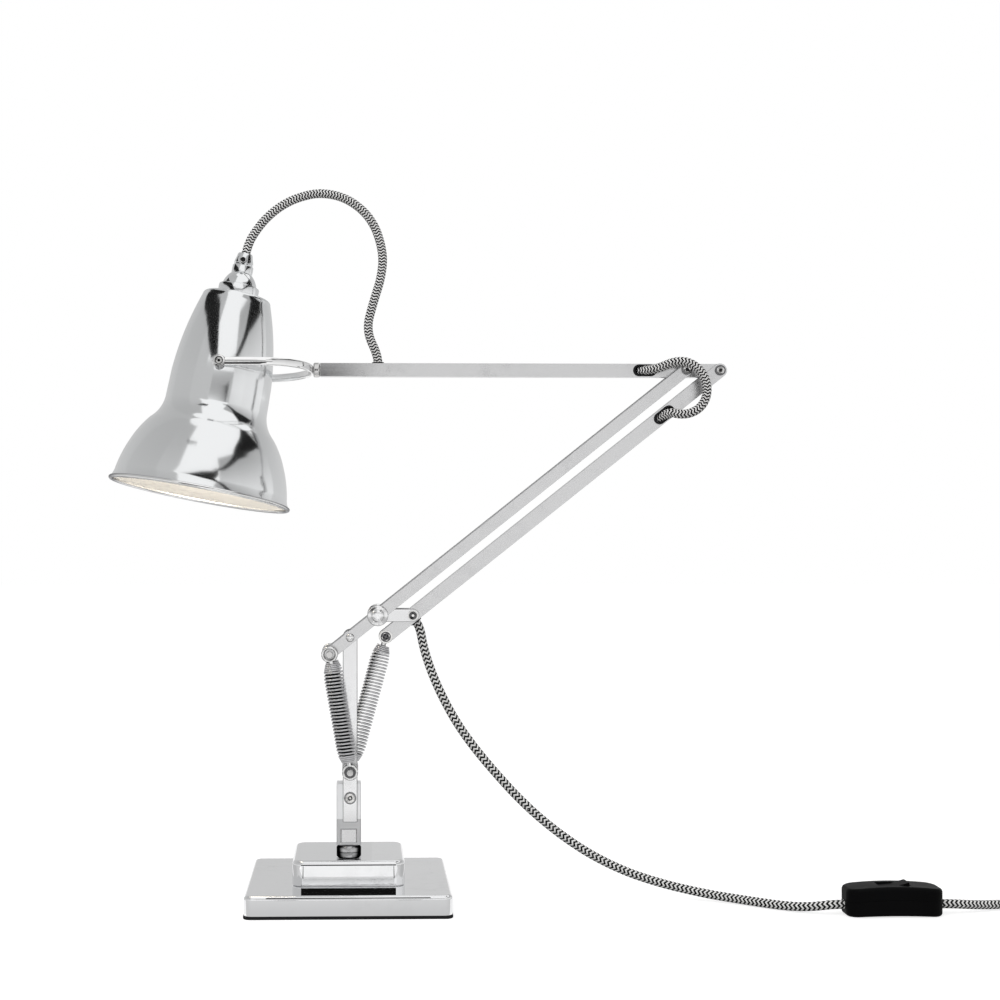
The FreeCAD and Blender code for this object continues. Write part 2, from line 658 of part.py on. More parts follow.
def make_upper_arm():
    """Square tube of the upper arm with its plugs, grommet, cord bush and rear pivot."""
    right = REAR_TOP.x + UPPER_OVERHANG
    half = UPPER_HALF
    room = half - UPPER_WALL
    z0, z1 = ARM_Z - UPPER_HEIGHT / 2, ARM_Z + UPPER_HEIGHT / 2
    in0, in1 = z0 + UPPER_WALL, z1 - UPPER_WALL
    tube = box(UPPER_LEFT_X, right, -half, half, z0, z1)
    tube = tube.cut(box(UPPER_LEFT_X, right, -room, room, in0, in1))
    tube = tube.cut(pin(ELBOW, PIVOT_R + RUN_FIT, -half, half))
    plug = box(UPPER_LEFT_X, UPPER_LEFT_X + PLUG_LENGTH, -room, room, in0, in1)
    mouth = V(UPPER_LEFT_X, 0, ARM_Z)
    plug = plug.cut(rod(mouth, mouth + X_AXIS * PLUG_LENGTH, SPIGOT_R + RUN_FIT))
    cap = box(right - CAP_THICK, right, -room, room, in0, in1)
    corners = box(REAR_TOP.x, right, -half, half, z0, z1).cut(pin(REAR_TOP, UPPER_OVERHANG, -half, half))
    tube = tube.cut(corners)
    cap = cap.cut(corners)
    pivot = pin(REAR_TOP, PIVOT_R, -REAR_HALF - SEAT_GAP, REAR_HALF + SEAT_GAP)
    seat = REAR_HALF + SEAT_GAP
    for head in both_sides(pin(REAR_TOP, PIVOT_HEAD_R, seat, seat + LINK_HEAD_H)):
        pivot = pivot.fuse(head)
    pivot = pivot.removeSplitter()
    grommet, hole = oval_grommet(V(UPPER_GROMMET_X, 0, ARM_Z), X_AXIS, half, UPPER_WALL)
    surface = V(BUSH_X, 0, z1)
    lip = rod(surface, surface + Z_AXIS * GROMMET_LIP, BUSH_R)
    neck = rod(surface, surface - Z_AXIS * UPPER_WALL, BUSH_R - GROMMET_LIP)
    bore = rod(surface - Z_AXIS * BUSH_R, surface + Z_AXIS * BUSH_R, CORD_R + CORD_FIT)
    bush = lip.fuse(neck).cut(bore).removeSplitter()
    tube = tube.cut(pivot).cut(hole).cut(neck)
    flex_end = UPPER_GROMMET_X - GROMMET_LENGTH
    flex_z = in0 + CORD_R + SEAT_GAP
    flex = rod(V(BUSH_X, 0, flex_z), V(flex_end, 0, flex_z), CORD_R)
    return {
        "upper_tube": [tube],
        "upper_plugs": [plug, cap],
        "rear_pivot_pin": [pivot],
        "upper_grommet": [grommet],
        "cord_bush": [bush],
        "upper_flex": [flex],
    }


def spring_parts(name, low, high, turns):
    """Spring between two pins, with the eyes that hold its ends: spring, lower eye, upper eye."""
    axis = (high - low).normalize()
    side = axis.cross(Y_AXIS).normalize()
    pitch_run = turns * TURN_RISE
    spare = ((high - low).Length - pitch_run) / 2
    foot = low + axis * spare

    def place(t):
        edge = min(t, turns - t) / TAPER_TURNS
        radius = SPRING_END_R + (SPRING_R - SPRING_END_R) * min(1.0, max(0.0, edge))
        angle = 2 * math.pi * t
        swing = side * math.cos(angle) + Y_AXIS * math.sin(angle)
        return foot + axis * (t * TURN_RISE) + swing * radius

    coil = wound(name, place, half_turns(turns), WIRE_R)
    eyes = []
    for end, inward, bore_r in ((low, axis, ANCHOR_R), (high, axis * -1, ANCHOR_R)):
        ring = pin(end, EYE_R, end.y - EYE_THICK / 2, end.y + EYE_THICK / 2)
        core = rod(end, end + inward * (spare + TAPER_TURNS * TURN_RISE), EYE_CORE_R)
        hole = pin(end, bore_r + RUN_FIT, end.y - EYE_R, end.y + EYE_R)
        eyes.append(ring.fuse(core).cut(hole).removeSplitter())
    return coil, eyes[0], eyes[1]


def make_springs():
    """Two outer springs to the arm's tail and one centre spring to the rear bar's foot."""
    coils = []
    feet = []
    heads = []
    for y in (-SPRING_Y, SPRING_Y):
        shift = V(0, y, 0)
        coil, foot, head = spring_parts("outer_spring", ANCHOR + shift, SPRING_TAIL + shift, OUTER_TURNS)
        coils.append(coil)
        feet.append(foot)
        heads.append(head)
    centre, centre_foot, centre_head = spring_parts("centre_spring", ANCHOR, REAR_LOW, CENTRE_TURNS)
    return {
        "outer_springs": coils,
        "centre_spring": [centre],
        "spring_feet": feet + [centre_foot],
        "outer_spring_heads": heads,
        "centre_spring_head": [centre_head],
    }


def shade_place(shapes):
    """Put shapes of the shade's own frame, rim at zero, on its pivot with its tilt and roll."""
    tilt = FreeCAD.Rotation(Y_AXIS, SHADE_TILT)
    roll = FreeCAD.Rotation(X_AXIS, -SHADE_ROLL)
    turn = FreeCAD.Placement(SHADE_PIVOT, roll.multiply(tilt))
    drop = FreeCAD.Placement(V(0, 0, -PIVOT_HEIGHT), FreeCAD.Rotation())
    placed = []
    for shape in shapes:
        shape.Placement = turn.multiply(drop).multiply(shape.Placement)
        placed.append(shape)
    return placed


def shade_point(height):
    """Point on the shade's axis at a height over its rim."""
    marker = Part.Vertex(0, 0, height)
    return shade_place([marker])[0].Point


def shade_wall(inset):
    """Edges of the shade's wall from the bell's foot to the crown, moved inwards by an inset."""
    def at(r, z):
        return V(r - inset, 0, z)

    foot = at(BELL_FOOT_R, BELL_FOOT_Z)
    shoulder = at(BELL_SHOULDER_R, BELL_SHOULDER_Z)
    waist = at(BELL_WAIST_R, BELL_WAIST_Z)
    neck = at(NECK_R, NECK_Z)
    neck_top = at(NECK_TOP_R, NECK_TOP_Z)
    crown = at(CROWN_R, CROWN_Z - inset)
    lid = at(CROWN_R - CROWN_EDGE + inset, CROWN_Z + CROWN_EDGE - inset)
    slant = math.sqrt(0.5)
    bend = CROWN_EDGE * (1 - slant)
    corner = at(CROWN_R - bend + inset * slant, CROWN_Z + CROWN_EDGE - bend - inset * slant)
    return [
        Part.Arc(foot, at(BELL_FOOT_R - BELL_BULGE, (BELL_FOOT_Z + BELL_SHOULDER_Z) / 2), shoulder).toShape(),
        Part.Arc(shoulder, at(BELL_TURN_R, BELL_TURN_Z), waist).toShape(),
        Part.Arc(waist, at(THROAT_R, THROAT_Z), neck).toShape(),
        Part.LineSegment(neck, neck_top).toShape(),
        Part.Arc(neck_top, at(CROWN_MID_R, CROWN_MID_Z), crown).toShape(),
        Part.Arc(crown, corner, lid).toShape(),
    ], foot, lid


def make_shade():
    """Shade with its rolled rim, its cap, cord grip, lampholder, bulb and side screws, in its own frame."""
    outer, outer_foot, outer_lid = shade_wall(0.0)
    inner, inner_foot, inner_lid = shade_wall(SHADE_WALL)
    collar_r = NIPPLE_R
    hole_top = V(collar_r, 0, outer_lid.z)
    hole_low = V(collar_r, 0, inner_lid.z)
    skirt_out = V(RIM_R, 0, 0)
    skirt_in = V(RIM_R - SHADE_WALL, 0, 0)
    wall = [Part.LineSegment(skirt_out, outer_foot).toShape()] + outer
    wall += [Part.LineSegment(outer_lid, hole_top).toShape(), Part.LineSegment(hole_top, hole_low).toShape()]
    wall += [Part.LineSegment(hole_low, inner_lid).toShape()] + inner[::-1]
    wall += [Part.LineSegment(inner_foot, skirt_in).toShape(), Part.LineSegment(skirt_in, skirt_out).toShape()]
    shell = revolve_profile(Part.__sortEdges__(wall))
    shell = shell.fuse(Part.makeTorus(RIM_R, BEAD_R)).removeSplitter()

    screws = []
    for side in (-1, 1):
        across = Y_AXIS * side
        at = V(0, 0, PIVOT_HEIGHT)
        inside = NECK_TOP_R - 2 * SHADE_WALL
        fork_in = FORK_R - FORK_THICK / 2
        fork_out = FORK_R + FORK_THICK / 2
        shank = rod(at + across * inside, at + across * (fork_out + SEAT_GAP), SIDE_SCREW_R)
        collar = rod(at + across * inside, at + across * (fork_in - SEAT_GAP), SIDE_SCREW_HEAD_R)
        head = rod(at + across * (fork_out + SEAT_GAP), at + across * (fork_out + SEAT_GAP + SIDE_SCREW_HEAD_H),
                   SIDE_SCREW_HEAD_R)
        screws.append(shank.fuse([collar, head]).removeSplitter())
    for screw in screws:
        shell = shell.cut(screw)

    lid_z = CROWN_Z + CROWN_EDGE
    ring_z = lid_z + RING_H
    dome_z = ring_z + DOME_H
    grip_z = dome_z + GRIP_H
    nipple_low = V(0, 0, lid_z - SHADE_WALL)
    cord_hole = rod(nipple_low - Z_AXIS * HOLDER_H, V(0, 0, grip_z), CORD_R + CORD_FIT)
    ring = rod(V(0, 0, lid_z), V(0, 0, ring_z), RING_R)
    rims = [e for e in ring.Edges if len(e.Vertexes) == 1]
    ring = ring.makeFillet(RING_EDGE, rims).cut(cord_hole)
    dome_top = V(GRIP_R, 0, dome_z)
    dome_foot = V(DOME_R, 0, ring_z)
    dome_mid = V(DOME_R - DOME_BULGE, 0, (ring_z + dome_z) / 2)
    dome = revolve_profile([
        Part.Arc(dome_foot, dome_mid, dome_top).toShape(),
        Part.LineSegment(dome_top, V(0, 0, dome_z)).toShape(),
        Part.LineSegment(V(0, 0, dome_z), V(0, 0, ring_z)).toShape(),
        Part.LineSegment(V(0, 0, ring_z), dome_foot).toShape(),
    ]).cut(cord_hole)
    waist_z = dome_z + GRIP_WAIST_H
    grip = rod(V(0, 0, dome_z), V(0, 0, waist_z), GRIP_R)
    grip = grip.fuse(Part.makeCone(GRIP_R, GRIP_TOP_R, GRIP_H - GRIP_WAIST_H, V(0, 0, waist_z)))
    grip = grip.cut(cord_hole)
    screw_z = dome_z + GRIP_SCREW_RISE
    grip_screw = rod(V(0, -CORD_R - CORD_FIT, screw_z), V(0, -GRIP_R - GRIP_SCREW_H, screw_z), GRIP_SCREW_R)
    grip_screw = grip_screw.cut(cord_hole)
    grip = grip.cut(grip_screw).removeSplitter()

    holder_low = lid_z - SHADE_WALL - HOLDER_H
    holder = rod(V(0, 0, holder_low), nipple_low, HOLDER_R)
    holder = holder.fuse(rod(nipple_low, V(0, 0, lid_z), collar_r))
    cap_top = holder_low + BULB_CAP_H
    holder = holder.cut(rod(V(0, 0, holder_low), V(0, 0, cap_top), BULB_CAP_R + CORD_FIT))
    holder = holder.cut(cord_hole).removeSplitter()
    globe = V(0, 0, holder_low - BULB_NECK - math.sqrt(BULB_R ** 2 - BULB_THROAT_R ** 2))
    bulb = rod(V(0, 0, holder_low), V(0, 0, cap_top - SEAT_GAP), BULB_CAP_R)
    bulb = bulb.fuse(Part.makeCone(BULB_THROAT_R, BULB_CAP_R, BULB_NECK, V(0, 0, holder_low - BULB_NECK)))
    bulb = bulb.fuse(Part.makeSphere(BULB_R, globe)).removeSplitter()
    return {
        "shade_shell": shade_place([shell]),
        "shade_screws": shade_place(screws),
        "shade_ring": shade_place([ring]),
        "shade_dome": shade_place([dome]),
        "cord_grip": shade_place([grip]),
        "grip_screw": shade_place([grip_screw]),
        "lampholder": shade_place([holder]),
        "bulb": shade_place([bulb]),
    }


def make_fork():
    """Bent strip fork that holds the shade, on a spigot that turns in the upper arm's end."""
    nut_right = UPPER_LEFT_X - SEAT_GAP
    base_x = nut_right - LOCK_NUT_H
    bend_x = base_x - FORK_THICK / 2 - FORK_R
    half = FORK_HEIGHT / 2

    def loop(radius, back):
        straight = box(SHADE_X - back, bend_x, -radius, radius, ARM_Z - half, ARM_Z + half)
        bend = Part.makeCylinder(radius, FORK_HEIGHT, V(0, 0, 0), Z_AXIS, 180)
        bend.Placement = FreeCAD.Placement(V(bend_x, 0, ARM_Z - half), FreeCAD.Rotation(Z_AXIS, -90))
        return straight.fuse(bend).removeSplitter()

    strip = loop(FORK_R + FORK_THICK / 2, 0.0).cut(loop(FORK_R - FORK_THICK / 2, FORK_EYE_R))
    for eye in both_sides(pin(SHADE_PIVOT, FORK_EYE_R, FORK_R - FORK_THICK / 2, FORK_R + FORK_THICK / 2)):
        strip = strip.fuse(eye)
    reach = FORK_R + FORK_THICK
    strip = strip.cut(pin(SHADE_PIVOT, SIDE_SCREW_R + RUN_FIT, -reach, reach)).removeSplitter()
    inner_x = base_x - FORK_THICK
    head = rod(V(inner_x - SPIGOT_HEAD_H, 0, ARM_Z), V(inner_x, 0, ARM_Z), SPIGOT_HEAD_R)
    shank = rod(V(inner_x, 0, ARM_Z), V(UPPER_LEFT_X + PLUG_LENGTH - SEAT_GAP, 0, ARM_Z), SPIGOT_R)
    spigot = head.fuse(shank).removeSplitter()
    strip = strip.cut(spigot)
    nut = rod(V(base_x, 0, ARM_Z), V(nut_right, 0, ARM_Z), LOCK_NUT_R)
    rims = [e for e in nut.Edges if len(e.Vertexes) == 1]
    nut = nut.makeFillet(LOCK_NUT_EDGE, rims).cut(spigot)
    roll = FreeCAD.Placement(V(0, 0, 0), FreeCAD.Rotation(X_AXIS, -SHADE_ROLL), V(0, 0, ARM_Z))
    for shape in (strip, spigot, nut):
        shape.Placement = roll.multiply(shape.Placement)
    return {"fork": [strip], "fork_spigot": [spigot], "fork_nut": [nut]}


def make_loops():
    """Flex that the object holds at both ends: over the shade and round the elbow."""
    grip_top = CROWN_Z + CROWN_EDGE + RING_H + DOME_H + GRIP_H
    start = shade_point(grip_top - GRIP_WAIST_H)
    lead = shade_point(grip_top + GRIP_WAIST_H)
    mouth = V(BUSH_X, 0, ARM_Z + UPPER_HEIGHT / 2)
    top_route = [start, lead] + SHADE_ROUTE + [mouth + Z_AXIS * BUSH_LEAD, mouth]
    slant = math.radians(GROMMET_SLANT)
    upper = V(UPPER_GROMMET_X, -UPPER_HALF, ARM_Z)
    upper_way = X_AXIS * math.cos(slant) - Y_AXIS * math.sin(slant)
    rear = LINK_END + ARM_DIR * REAR_GROMMET_STATION - Y_AXIS * REAR_HALF
    rear_way = ARM_DIR * math.cos(slant) - Y_AXIS * math.sin(slant)
    elbow_route = [upper - upper_way * GROMMET_REACH, upper + upper_way * GROMMET_LEAD]
    elbow_route += ELBOW_ROUTE
    elbow_route += [rear + rear_way * GROMMET_LEAD, rear - rear_way * GROMMET_REACH]
    return {
        "shade_loop": [cord_tube("shade_loop", top_route)],
        "elbow_loop": [cord_tube("elbow_loop", elbow_route)],
    }


def coil_place(t):
    """Centre line of the put-away coil after a count of turns: in on one layer, out on the next."""
    reverse = COIL_TURNS + COIL_REVERSE / 2
    past = abs(t - reverse)
    half = COIL_REVERSE / 2
    spread = past if past > half else past ** 2 / (2 * half) + half / 2
    radius = COIL_OUTER_R - COIL_STEP * (reverse - spread)
    climb = min(1.0, max(0.0, (t - COIL_TURNS) / COIL_REVERSE))
    height = COIL_LOW_Z + COIL_LAYER * climb * climb * (3 - 2 * climb)
    angle = 2 * math.pi * (t - 0.25)
    return V(COIL_X + radius * math.cos(angle), COIL_Y + radius * math.sin(angle), height)


def coil_heading(t):
    """Direction of the coil's centre line after a count of turns."""
    small = 1e-4
    return (coil_place(t + small) - coil_place(t - small)).normalize()


def make_switch():
    """In-line switch: two shells, their screws and a rocker on its own trunnions."""
    centre = V(SWITCH_X, SWITCH_Y, 0)
    x0, x1 = SWITCH_X - SWITCH_LENGTH / 2, SWITCH_X + SWITCH_LENGTH / 2
    y0, y1 = SWITCH_Y - SWITCH_DEPTH / 2, SWITCH_Y + SWITCH_DEPTH / 2
    top = SWITCH_LOWER_H + SWITCH_UPPER_H

    def shell(z0, z1, rounded):
        block = box(x0, x1, y0, y1, z0, z1)
        upright = [e for e in block.Edges if abs(e.tangentAt(e.FirstParameter).z) > 0.99]
        block = block.makeFillet(SWITCH_CORNER, upright)
        return block.makeFillet(SWITCH_EDGE, top_edges(block, rounded))

    lower = shell(0, SWITCH_LOWER_H, 0)
    wall = SWITCH_WALL
    room = box(x0 + wall, x1 - wall, y0 + wall, y1 - wall, wall, SWITCH_LOWER_H)
    room = room.makeFillet(SWITCH_CORNER - SWITCH_WALL,
                           [e for e in room.Edges if abs(e.tangentAt(e.FirstParameter).z) > 0.99])
    upper = shell(SWITCH_LOWER_H, top, top)
    pivot = centre + V(ROCKER_X, 0, top - ROCKER_DROP)
    half = ROCKER_LENGTH / 2
    outline = [V(-half, 0, -ROCKER_DROP), V(half, 0, -ROCKER_DROP), V(half, 0, ROCKER_TIP), V(0, 0, ROCKER_DIP),
               V(-half, 0, ROCKER_TIP), V(-half, 0, -ROCKER_DROP)]
    rocker = Part.Face(Part.makePolygon(outline)).extrude(Y_AXIS * ROCKER_DEPTH)
    rocker.translate(V(0, -ROCKER_DEPTH / 2, 0))
    reach = ROCKER_DEPTH / 2 + TRUNNION_LENGTH
    rocker = rocker.fuse(pin(V(0, 0, 0), TRUNNION_R, -reach, reach)).removeSplitter()
    rocker.Placement = FreeCAD.Placement(pivot, FreeCAD.Rotation(Y_AXIS, ROCKER_ANGLE))
    gap = ROCKER_GAP
    pocket = box(pivot.x - half - gap, pivot.x + half + gap, SWITCH_Y - ROCKER_DEPTH / 2 - SIDE_GAP,
                 SWITCH_Y + ROCKER_DEPTH / 2 + SIDE_GAP, SWITCH_LOWER_H, top)
    socket_end = Y_AXIS * (reach + SIDE_GAP)
    sockets = rod(pivot - socket_end, pivot + socket_end, TRUNNION_R + RUN_FIT)
    upper = upper.cut(pocket).cut(sockets)
    screws = []
    for side in (-1, 1):
        foot = centre + V(side * SWITCH_SCREW_X, 0, 0)
        post = rod(foot, foot + Z_AXIS * SWITCH_LOWER_H, SWITCH_POST_R)
        room = room.cut(post)
        head = rod(foot + Z_AXIS * SEAT_GAP, foot + Z_AXIS * SWITCH_WALL, 2 * SWITCH_SCREW_R)
        bite = SWITCH_LOWER_H + SWITCH_UPPER_H / 2
        shank = rod(foot + Z_AXIS * SEAT_GAP, foot + Z_AXIS * bite, SWITCH_SCREW_R)
        screws.append(head.fuse(shank).removeSplitter())
        well = rod(foot, foot + Z_AXIS * SWITCH_WALL, 2 * SWITCH_SCREW_R)
        lower = lower.cut(well)
    lower = lower.cut(room)
    for screw in screws:
        lower = lower.cut(screw)
        upper = upper.cut(screw)
    return {
        "switch_lower": [lower],
        "switch_upper": [upper],
        "switch_rocker": [rocker],
        "switch_screws": screws,
    }


def make_mains():
    """Free cord: drop to the floor, tail past the switch and the put-away coil, with tie and plug."""
    left = V(SWITCH_X - SWITCH_LENGTH / 2, SWITCH_Y, SWITCH_CORD_Z)
    right = V(SWITCH_X + SWITCH_LENGTH / 2, SWITCH_Y, SWITCH_CORD_Z)
    lead = X_AXIS * SWITCH_LEAD
    drop = [exit_mouth(-REAR_WEB_WALL), exit_mouth(EXIT_LEAD)] + MAINS_ROUTE + [left - lead, left]
    tube = 2 * CORD_R
    coil_start = coil_place(0) - coil_heading(0) * tube
    tail = [right, right + lead] + TAIL_ROUTE + [coil_start - coil_heading(0) * TAIL_LEAD, coil_start]
    last = 2 * COIL_TURNS + COIL_END
    steps = half_turns(COIL_TURNS) + [COIL_TURNS + COIL_REVERSE / 2]
    steps += [COIL_TURNS + COIL_REVERSE + i / 2 for i in range(2 * COIL_TURNS)]
    steps = [t for t in steps if t < last] + [last]
    coil = wound("coil_flex", coil_place, steps, CORD_R, tube, COIL_LEAD)
    out = coil_heading(last)
    mouth = coil_place(last) + out * COIL_LEAD
    relief = Part.makeCone(CORD_R + RELIEF_WALL, PLUG_NECK_R, RELIEF_LEN, mouth, out)
    seat = mouth + out * RELIEF_LEN
    plug_half = seat.z
    turn = FreeCAD.Placement(seat, FreeCAD.Rotation(X_AXIS, out))
    body = Part.makeBox(PLUG_LEN, PLUG_WIDTH, 2 * plug_half, V(0, -PLUG_WIDTH / 2, -plug_half))
    lengthwise = [e for e in body.Edges if abs(e.tangentAt(e.FirstParameter).x) > 0.99]
    body = body.makeFillet(PLUG_EDGE, lengthwise)
    pins = []
    for side in (-1, 1):
        at = V(PLUG_LEN, side * PLUG_PIN_PITCH / 2, 0)
        stem = rod(at, at + X_AXIS * PLUG_PIN_LEN, PLUG_PIN_R)
        tip = [e for e in stem.Edges if abs(e.CenterOfMass.x - PLUG_LEN - PLUG_PIN_LEN) < 1e-6]
        pins.append(stem.makeFillet(PLUG_PIN_R / 2, tip))
    for shape in [body] + pins:
        shape.Placement = turn
    inner = COIL_OUTER_R - COIL_STEP * (COIL_TURNS + COIL_REVERSE / 2) - CORD_R - TIE_GAP
    outer = COIL_OUTER_R + CORD_R + TIE_GAP
    ceiling = COIL_LOW_Z + COIL_LAYER + CORD_R + TIE_GAP
    half = TIE_WIDTH / 2
    tie = box(COIL_X - half, COIL_X + half, COIL_Y + inner - TIE_THICK, COIL_Y + outer + TIE_THICK,
              0, ceiling + TIE_THICK)
    tie = tie.cut(box(COIL_X - half, COIL_X + half, COIL_Y + inner, COIL_Y + outer, TIE_THICK, ceiling))
    return {
        "mains_flex": [cord_tube("mains_flex", drop)],
        "tail_flex": [cord_tube("tail_flex", tail)],
        "coil_flex": [coil],
        "coil_tie": [tie],
        "plug_relief": [relief],
        "plug_body": [body],
        "plug_pins": pins,
    }


def main():
    """Make every piece and write one file per node."""
    os.makedirs("parts", exist_ok=True)
    nodes = {}
    for make in (make_base, make_post, make_lower_arm, make_link, make_rear_bar, make_upper_arm, make_springs,
                 make_shade, make_fork, make_loops, make_switch, make_mains):
        nodes.update(make())
    for name, shapes in nodes.items():
        solids = [solid for shape in shapes for solid in shape.Solids]
        shape = solids[0] if len(solids) == 1 else Part.makeCompound(solids)
        if not shape.isValid():
            print(name, "is not valid")
        shape.exportStep("parts/" + name + ".step")
    print(len(nodes), "nodes")


main()
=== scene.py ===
"""Architect lamp on a square plated base: the looks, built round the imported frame."""
import json
import math

import bmesh
import bpy
from mathutils import Matrix, Vector
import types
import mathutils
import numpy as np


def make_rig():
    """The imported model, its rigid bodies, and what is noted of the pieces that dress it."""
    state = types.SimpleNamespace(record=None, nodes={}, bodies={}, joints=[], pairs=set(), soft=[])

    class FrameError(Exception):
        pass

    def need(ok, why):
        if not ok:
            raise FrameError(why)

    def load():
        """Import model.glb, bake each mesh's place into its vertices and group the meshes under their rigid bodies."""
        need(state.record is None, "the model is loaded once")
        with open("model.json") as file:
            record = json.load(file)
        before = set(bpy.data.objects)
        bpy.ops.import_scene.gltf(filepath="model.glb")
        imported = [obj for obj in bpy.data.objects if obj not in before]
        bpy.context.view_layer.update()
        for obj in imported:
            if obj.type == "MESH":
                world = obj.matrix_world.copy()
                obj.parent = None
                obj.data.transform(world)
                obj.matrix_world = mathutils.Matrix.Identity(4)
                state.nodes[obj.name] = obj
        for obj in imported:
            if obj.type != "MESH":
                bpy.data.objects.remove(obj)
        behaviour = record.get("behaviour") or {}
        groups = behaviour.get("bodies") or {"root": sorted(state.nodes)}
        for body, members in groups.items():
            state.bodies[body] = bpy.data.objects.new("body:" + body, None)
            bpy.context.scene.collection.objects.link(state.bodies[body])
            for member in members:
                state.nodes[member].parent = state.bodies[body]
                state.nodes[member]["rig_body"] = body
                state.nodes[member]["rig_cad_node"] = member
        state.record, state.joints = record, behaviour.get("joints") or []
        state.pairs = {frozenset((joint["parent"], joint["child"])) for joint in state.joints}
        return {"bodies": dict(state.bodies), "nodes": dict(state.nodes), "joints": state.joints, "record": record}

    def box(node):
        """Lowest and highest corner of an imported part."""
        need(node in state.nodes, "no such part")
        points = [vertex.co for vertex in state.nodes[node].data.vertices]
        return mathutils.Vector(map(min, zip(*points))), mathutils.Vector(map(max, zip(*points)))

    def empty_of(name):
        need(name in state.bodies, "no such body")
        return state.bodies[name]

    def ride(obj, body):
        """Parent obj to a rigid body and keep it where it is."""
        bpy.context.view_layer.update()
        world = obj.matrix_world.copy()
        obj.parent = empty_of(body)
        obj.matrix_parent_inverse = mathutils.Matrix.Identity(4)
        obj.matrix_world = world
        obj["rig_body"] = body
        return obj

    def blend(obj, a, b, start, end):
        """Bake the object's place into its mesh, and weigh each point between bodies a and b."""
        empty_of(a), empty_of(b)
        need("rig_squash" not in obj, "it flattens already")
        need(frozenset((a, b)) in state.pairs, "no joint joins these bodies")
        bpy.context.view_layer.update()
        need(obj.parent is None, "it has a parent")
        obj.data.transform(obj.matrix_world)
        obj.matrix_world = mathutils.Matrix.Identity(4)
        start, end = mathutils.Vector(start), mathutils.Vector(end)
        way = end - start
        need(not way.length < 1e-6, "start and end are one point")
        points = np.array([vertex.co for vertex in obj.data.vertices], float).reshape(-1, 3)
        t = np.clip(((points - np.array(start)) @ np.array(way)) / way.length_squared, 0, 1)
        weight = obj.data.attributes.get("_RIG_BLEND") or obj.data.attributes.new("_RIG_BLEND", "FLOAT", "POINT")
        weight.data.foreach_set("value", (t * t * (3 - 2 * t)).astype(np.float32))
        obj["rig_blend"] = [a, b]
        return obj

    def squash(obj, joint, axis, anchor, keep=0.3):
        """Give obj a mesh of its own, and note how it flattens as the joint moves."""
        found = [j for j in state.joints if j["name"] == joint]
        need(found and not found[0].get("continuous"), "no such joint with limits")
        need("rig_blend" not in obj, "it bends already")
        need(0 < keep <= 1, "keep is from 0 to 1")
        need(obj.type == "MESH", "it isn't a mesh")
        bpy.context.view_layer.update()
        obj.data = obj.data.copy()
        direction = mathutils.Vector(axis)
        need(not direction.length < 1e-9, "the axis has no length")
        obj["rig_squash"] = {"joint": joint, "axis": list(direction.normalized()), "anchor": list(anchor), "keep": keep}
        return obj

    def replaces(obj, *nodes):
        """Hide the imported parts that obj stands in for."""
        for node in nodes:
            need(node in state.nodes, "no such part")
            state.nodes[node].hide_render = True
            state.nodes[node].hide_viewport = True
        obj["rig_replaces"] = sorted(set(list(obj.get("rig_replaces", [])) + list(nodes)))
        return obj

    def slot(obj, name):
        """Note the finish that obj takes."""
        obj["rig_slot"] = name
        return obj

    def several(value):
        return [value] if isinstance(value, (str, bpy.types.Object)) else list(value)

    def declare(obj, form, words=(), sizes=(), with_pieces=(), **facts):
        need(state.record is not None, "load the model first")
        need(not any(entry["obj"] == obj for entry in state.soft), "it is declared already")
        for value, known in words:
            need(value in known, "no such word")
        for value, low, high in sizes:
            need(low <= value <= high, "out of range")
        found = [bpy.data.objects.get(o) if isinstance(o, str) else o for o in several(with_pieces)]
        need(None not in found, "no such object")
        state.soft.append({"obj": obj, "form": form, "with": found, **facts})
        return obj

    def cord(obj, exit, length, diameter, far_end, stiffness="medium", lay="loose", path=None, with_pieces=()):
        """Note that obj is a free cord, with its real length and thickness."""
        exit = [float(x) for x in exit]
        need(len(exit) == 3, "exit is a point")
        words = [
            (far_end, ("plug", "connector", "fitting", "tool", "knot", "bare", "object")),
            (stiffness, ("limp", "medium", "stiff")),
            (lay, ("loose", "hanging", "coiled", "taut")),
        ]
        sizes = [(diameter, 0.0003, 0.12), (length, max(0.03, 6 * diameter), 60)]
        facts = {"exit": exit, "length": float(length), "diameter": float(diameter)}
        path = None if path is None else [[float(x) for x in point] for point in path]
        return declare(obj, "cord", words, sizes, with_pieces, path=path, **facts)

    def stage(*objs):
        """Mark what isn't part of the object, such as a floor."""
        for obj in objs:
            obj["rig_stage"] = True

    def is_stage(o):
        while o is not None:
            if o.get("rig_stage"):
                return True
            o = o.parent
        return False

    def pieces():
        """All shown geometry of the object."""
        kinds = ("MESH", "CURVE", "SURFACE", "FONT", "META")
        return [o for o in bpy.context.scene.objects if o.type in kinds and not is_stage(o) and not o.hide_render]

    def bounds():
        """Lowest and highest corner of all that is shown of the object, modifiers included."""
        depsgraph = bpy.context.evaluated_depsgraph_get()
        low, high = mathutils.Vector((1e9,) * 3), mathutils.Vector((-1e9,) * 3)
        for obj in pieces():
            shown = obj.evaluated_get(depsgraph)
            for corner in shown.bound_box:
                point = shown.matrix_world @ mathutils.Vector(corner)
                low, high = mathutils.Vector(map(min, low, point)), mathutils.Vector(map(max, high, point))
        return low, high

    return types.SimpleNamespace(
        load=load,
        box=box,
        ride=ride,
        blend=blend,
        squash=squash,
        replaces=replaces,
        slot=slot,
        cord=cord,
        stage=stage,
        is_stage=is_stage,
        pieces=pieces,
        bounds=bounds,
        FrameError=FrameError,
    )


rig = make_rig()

bl_info = {
    "name": "Architect Lamp",
    "version": (1, 0, 0),
    "blender": (4, 5, 0),
    "location": "View3D > Sidebar > Lamp",
    "description": "Dresses the architect lamp's frame with its plated metal, springs, braided flex and studio",
    "category": "Object",
}

